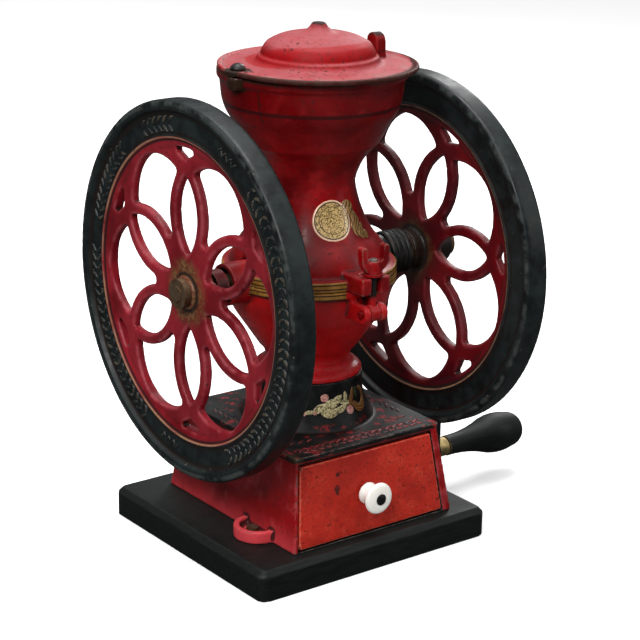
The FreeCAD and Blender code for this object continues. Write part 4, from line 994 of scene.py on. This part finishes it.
def neck_spray(piece):
    """A transfer on the neck: a brown horn, cream leaves and three small roses."""
    place = on_casing(piece, 0.0, SPRAY_LEVEL)
    horn = printed("spray_horn", (0.085, 0.028, 0.006), (0.36, 0.16, 0.035), streak=True, scale=600)
    cream = printed("spray_leaf", (0.13, 0.10, 0.03), (0.80, 0.70, 0.38), scale=700)
    rose = printed("spray_rose", (0.34, 0.05, 0.04), (0.80, 0.46, 0.38), scale=1500)
    green = printed("spray_green", (0.010, 0.022, 0.006), (0.05, 0.09, 0.02), scale=900)
    decal("spray_horn", [
        curl((20.0, -0.4), 3.5, 4.4, 7.0, 8.2, 3.0), leaf((9.5, 2.5), 15, 4.2, 1.15, -1.6),
        leaf((13.5, -4.5), 9, 3.6, -0.35, 0.8),
    ], place, horn)
    decal("spray_leaves", [
        leaf((-16.0, -3.4), 15, 6.4, 0.30, 1.4), leaf((-9.5, -1.6), 17, 7.4, 0.55, 1.2),
        leaf((-9.5, -4.8), 15, 6.6, 0.10, -1.6), leaf((-3.5, 1.2), 13, 6.0, 0.75, 0.8),
        leaf((-1.0, -3.6), 12, 5.2, 0.25, -1.0), leaf((3.5, 3.6), 9, 3.8, 1.5, -0.9),
        leaf((3.6, -1.0), 9, 4.2, -0.2, 0.8), leaf((-25.0, -5.4), 9, 3.0, 0.12, 0.6),
    ], place, cream)
    decal("spray_roses", [
        dot((-13.6, 5.4), 3.2), dot((7.4, -6.6), 3.4), dot((-21.0, -5.0), 1.7), dot((-28.6, -5.8), 1.5),
    ], place, rose)
    decal("spray_green", [
        leaf((17.0, 4.4), 9, 3.0, 1.75, 0.8), leaf((-9.0, 3.0), 6, 2.0, 2.5, 0.3),
    ], place, green)


# ---------------------------------------------------------------- build
floor()
studio()
camera()

red = red_enamel("crimson_enamel")
# Painted light: a lighter copy of the casing paint for the lower casing, whose belly is lit from below.
lit_casing_red = red_enamel(
    "casing_lit_enamel", trimmed=True, coat=((0.300, 0.0012, 0.0025), (0.470, 0.0050, 0.0070))
)
lid_red = red_enamel("lid_enamel", fade=0.85, chips=0.3, lid=True)
bolt_red = red_enamel(
    "bolt_enamel", chips=0.4, greased=True, coat=((0.22, 0.001, 0.002), (0.35, 0.004, 0.006))
)
hopper_red = red_enamel("hopper_enamel", stripe=HOPPER_STRIPE, trimmed=True)
wheel_paint = wheel_enamel(
    "wheel_enamel", deep=(0.105, 0.001, 0.004), light=(0.215, 0.008, 0.015), worn=(0.33, 0.060, 0.075)
)
# Painted shade: a darker copy of the wheel paint for the crank wheel, which sits in shade.
shaded_wheel_paint = wheel_enamel(
    "crank_wheel_shaded_enamel", deep=(0.045, 0.001, 0.003), light=(0.105, 0.001, 0.003),
    worn=(0.17, 0.028, 0.034), oil_and_shade=0.93,
)
base_paint = base_enamel("base_enamel")
drawer_paint = pitted_enamel("drawer_enamel")
black_paint = black_enamel("black_enamel")
collar_paint = red_enamel(
    "collar_enamel", chips=1.0, coat=((0.012, 0.004, 0.004), (0.050, 0.004, 0.006))
)
board_paint = painted_wood("board_paint")
grip_paint = painted_wood("grip_paint")
steel = metal("browned_steel", (0.16, 0.13, 0.10), RUST, 0.45)
rusty_steel = metal("rusty_steel", (0.20, 0.14, 0.09), RUST, 0.55)
iron = metal("bare_iron", BARE_IRON, RUST, 0.6, 0.8)
tin = metal("tin_plate", (0.42, 0.40, 0.37), (0.22, 0.18, 0.14), 0.4)
bronze = metal("bronze", (0.40, 0.24, 0.10), (0.16, 0.10, 0.05), 0.4)
brass = metal("dull_brass", (0.46, 0.35, 0.16), (0.22, 0.17, 0.08), 0.42)
porcelain = glazed("porcelain")


def petal_share(points):
    """Full extra rounding on the petals, none on the rim."""
    radius = np.hypot(points[:, 1], points[:, 2] - SHAFT_LEVEL)
    return np.clip((RING_OUTER - radius) / 0.004, 0, 1)


for wheel, paint in (("left_wheel", wheel_paint), ("crank_wheel", shaded_wheel_paint)):
    recast(wheel, paint, 1.0 * MM, 3, more=petal_share)
hopper = recast("upper_casing", hopper_red, 1.0 * MM, 4)
recast("lower_casing", lit_casing_red, 1.0 * MM, 4)
recast("hopper_lid", lid_red, 0.8 * MM, 3)
base = recast("base_box", base_paint, 0.95 * MM, 3, lump=0.00008)
recast("drawer_front", drawer_paint, 0.8 * MM, 3)
recast("plinth_board", board_paint, 1.3 * MM, 1, lump=0.00006)
recast("regulating_nut", black_paint, 0.5 * MM, 2)
recast("swing_bolt", bolt_red, 0.5 * MM, 3)
recast("wing_nut", red, 0.4 * MM, 6)
recast("left_shaft_collar", collar_paint, 0.5 * MM, 3)
recast("crank_grip", grip_paint, 0.7 * MM, 2)
recast("drawer_knob", porcelain, 0.4 * MM, 4, lump=0)
recast("crank_ferrule", brass, 0.35 * MM, 2)
recast("lid_pivot_screw", black_paint, 0.35 * MM, 2)

rim_relief = rim_ornament_paint("rim_relief")
rim_ornament("left_wheel", -1, rim_relief)
rim_ornament("crank_wheel", 1, rim_relief)
plate_ornament(base)
medallion(hopper)
neck_spray(base)

for nodes, material in (
    (("latch_pin", "latch_washer", "rear_hinge_pin"), red),
    (("main_shaft", "left_wheel_nut", "right_wheel_nut", "hub_set_screws"), rusty_steel),
    (("crank_spindle", "spindle_nut", "knob_nut", "thrust_washer"), steel),
    (("base_screws", "casing_screws", "burr_screws"), steel),
    (("knob_screw",), black_paint),
    (("stationary_burr", "rotary_burr", "feed_auger"), iron),
    (("left_bearing_bush", "right_bearing_bush"), bronze),
    (("drawer_tray",), tin),
):
    for node in nodes:
        finish_node(node, material)
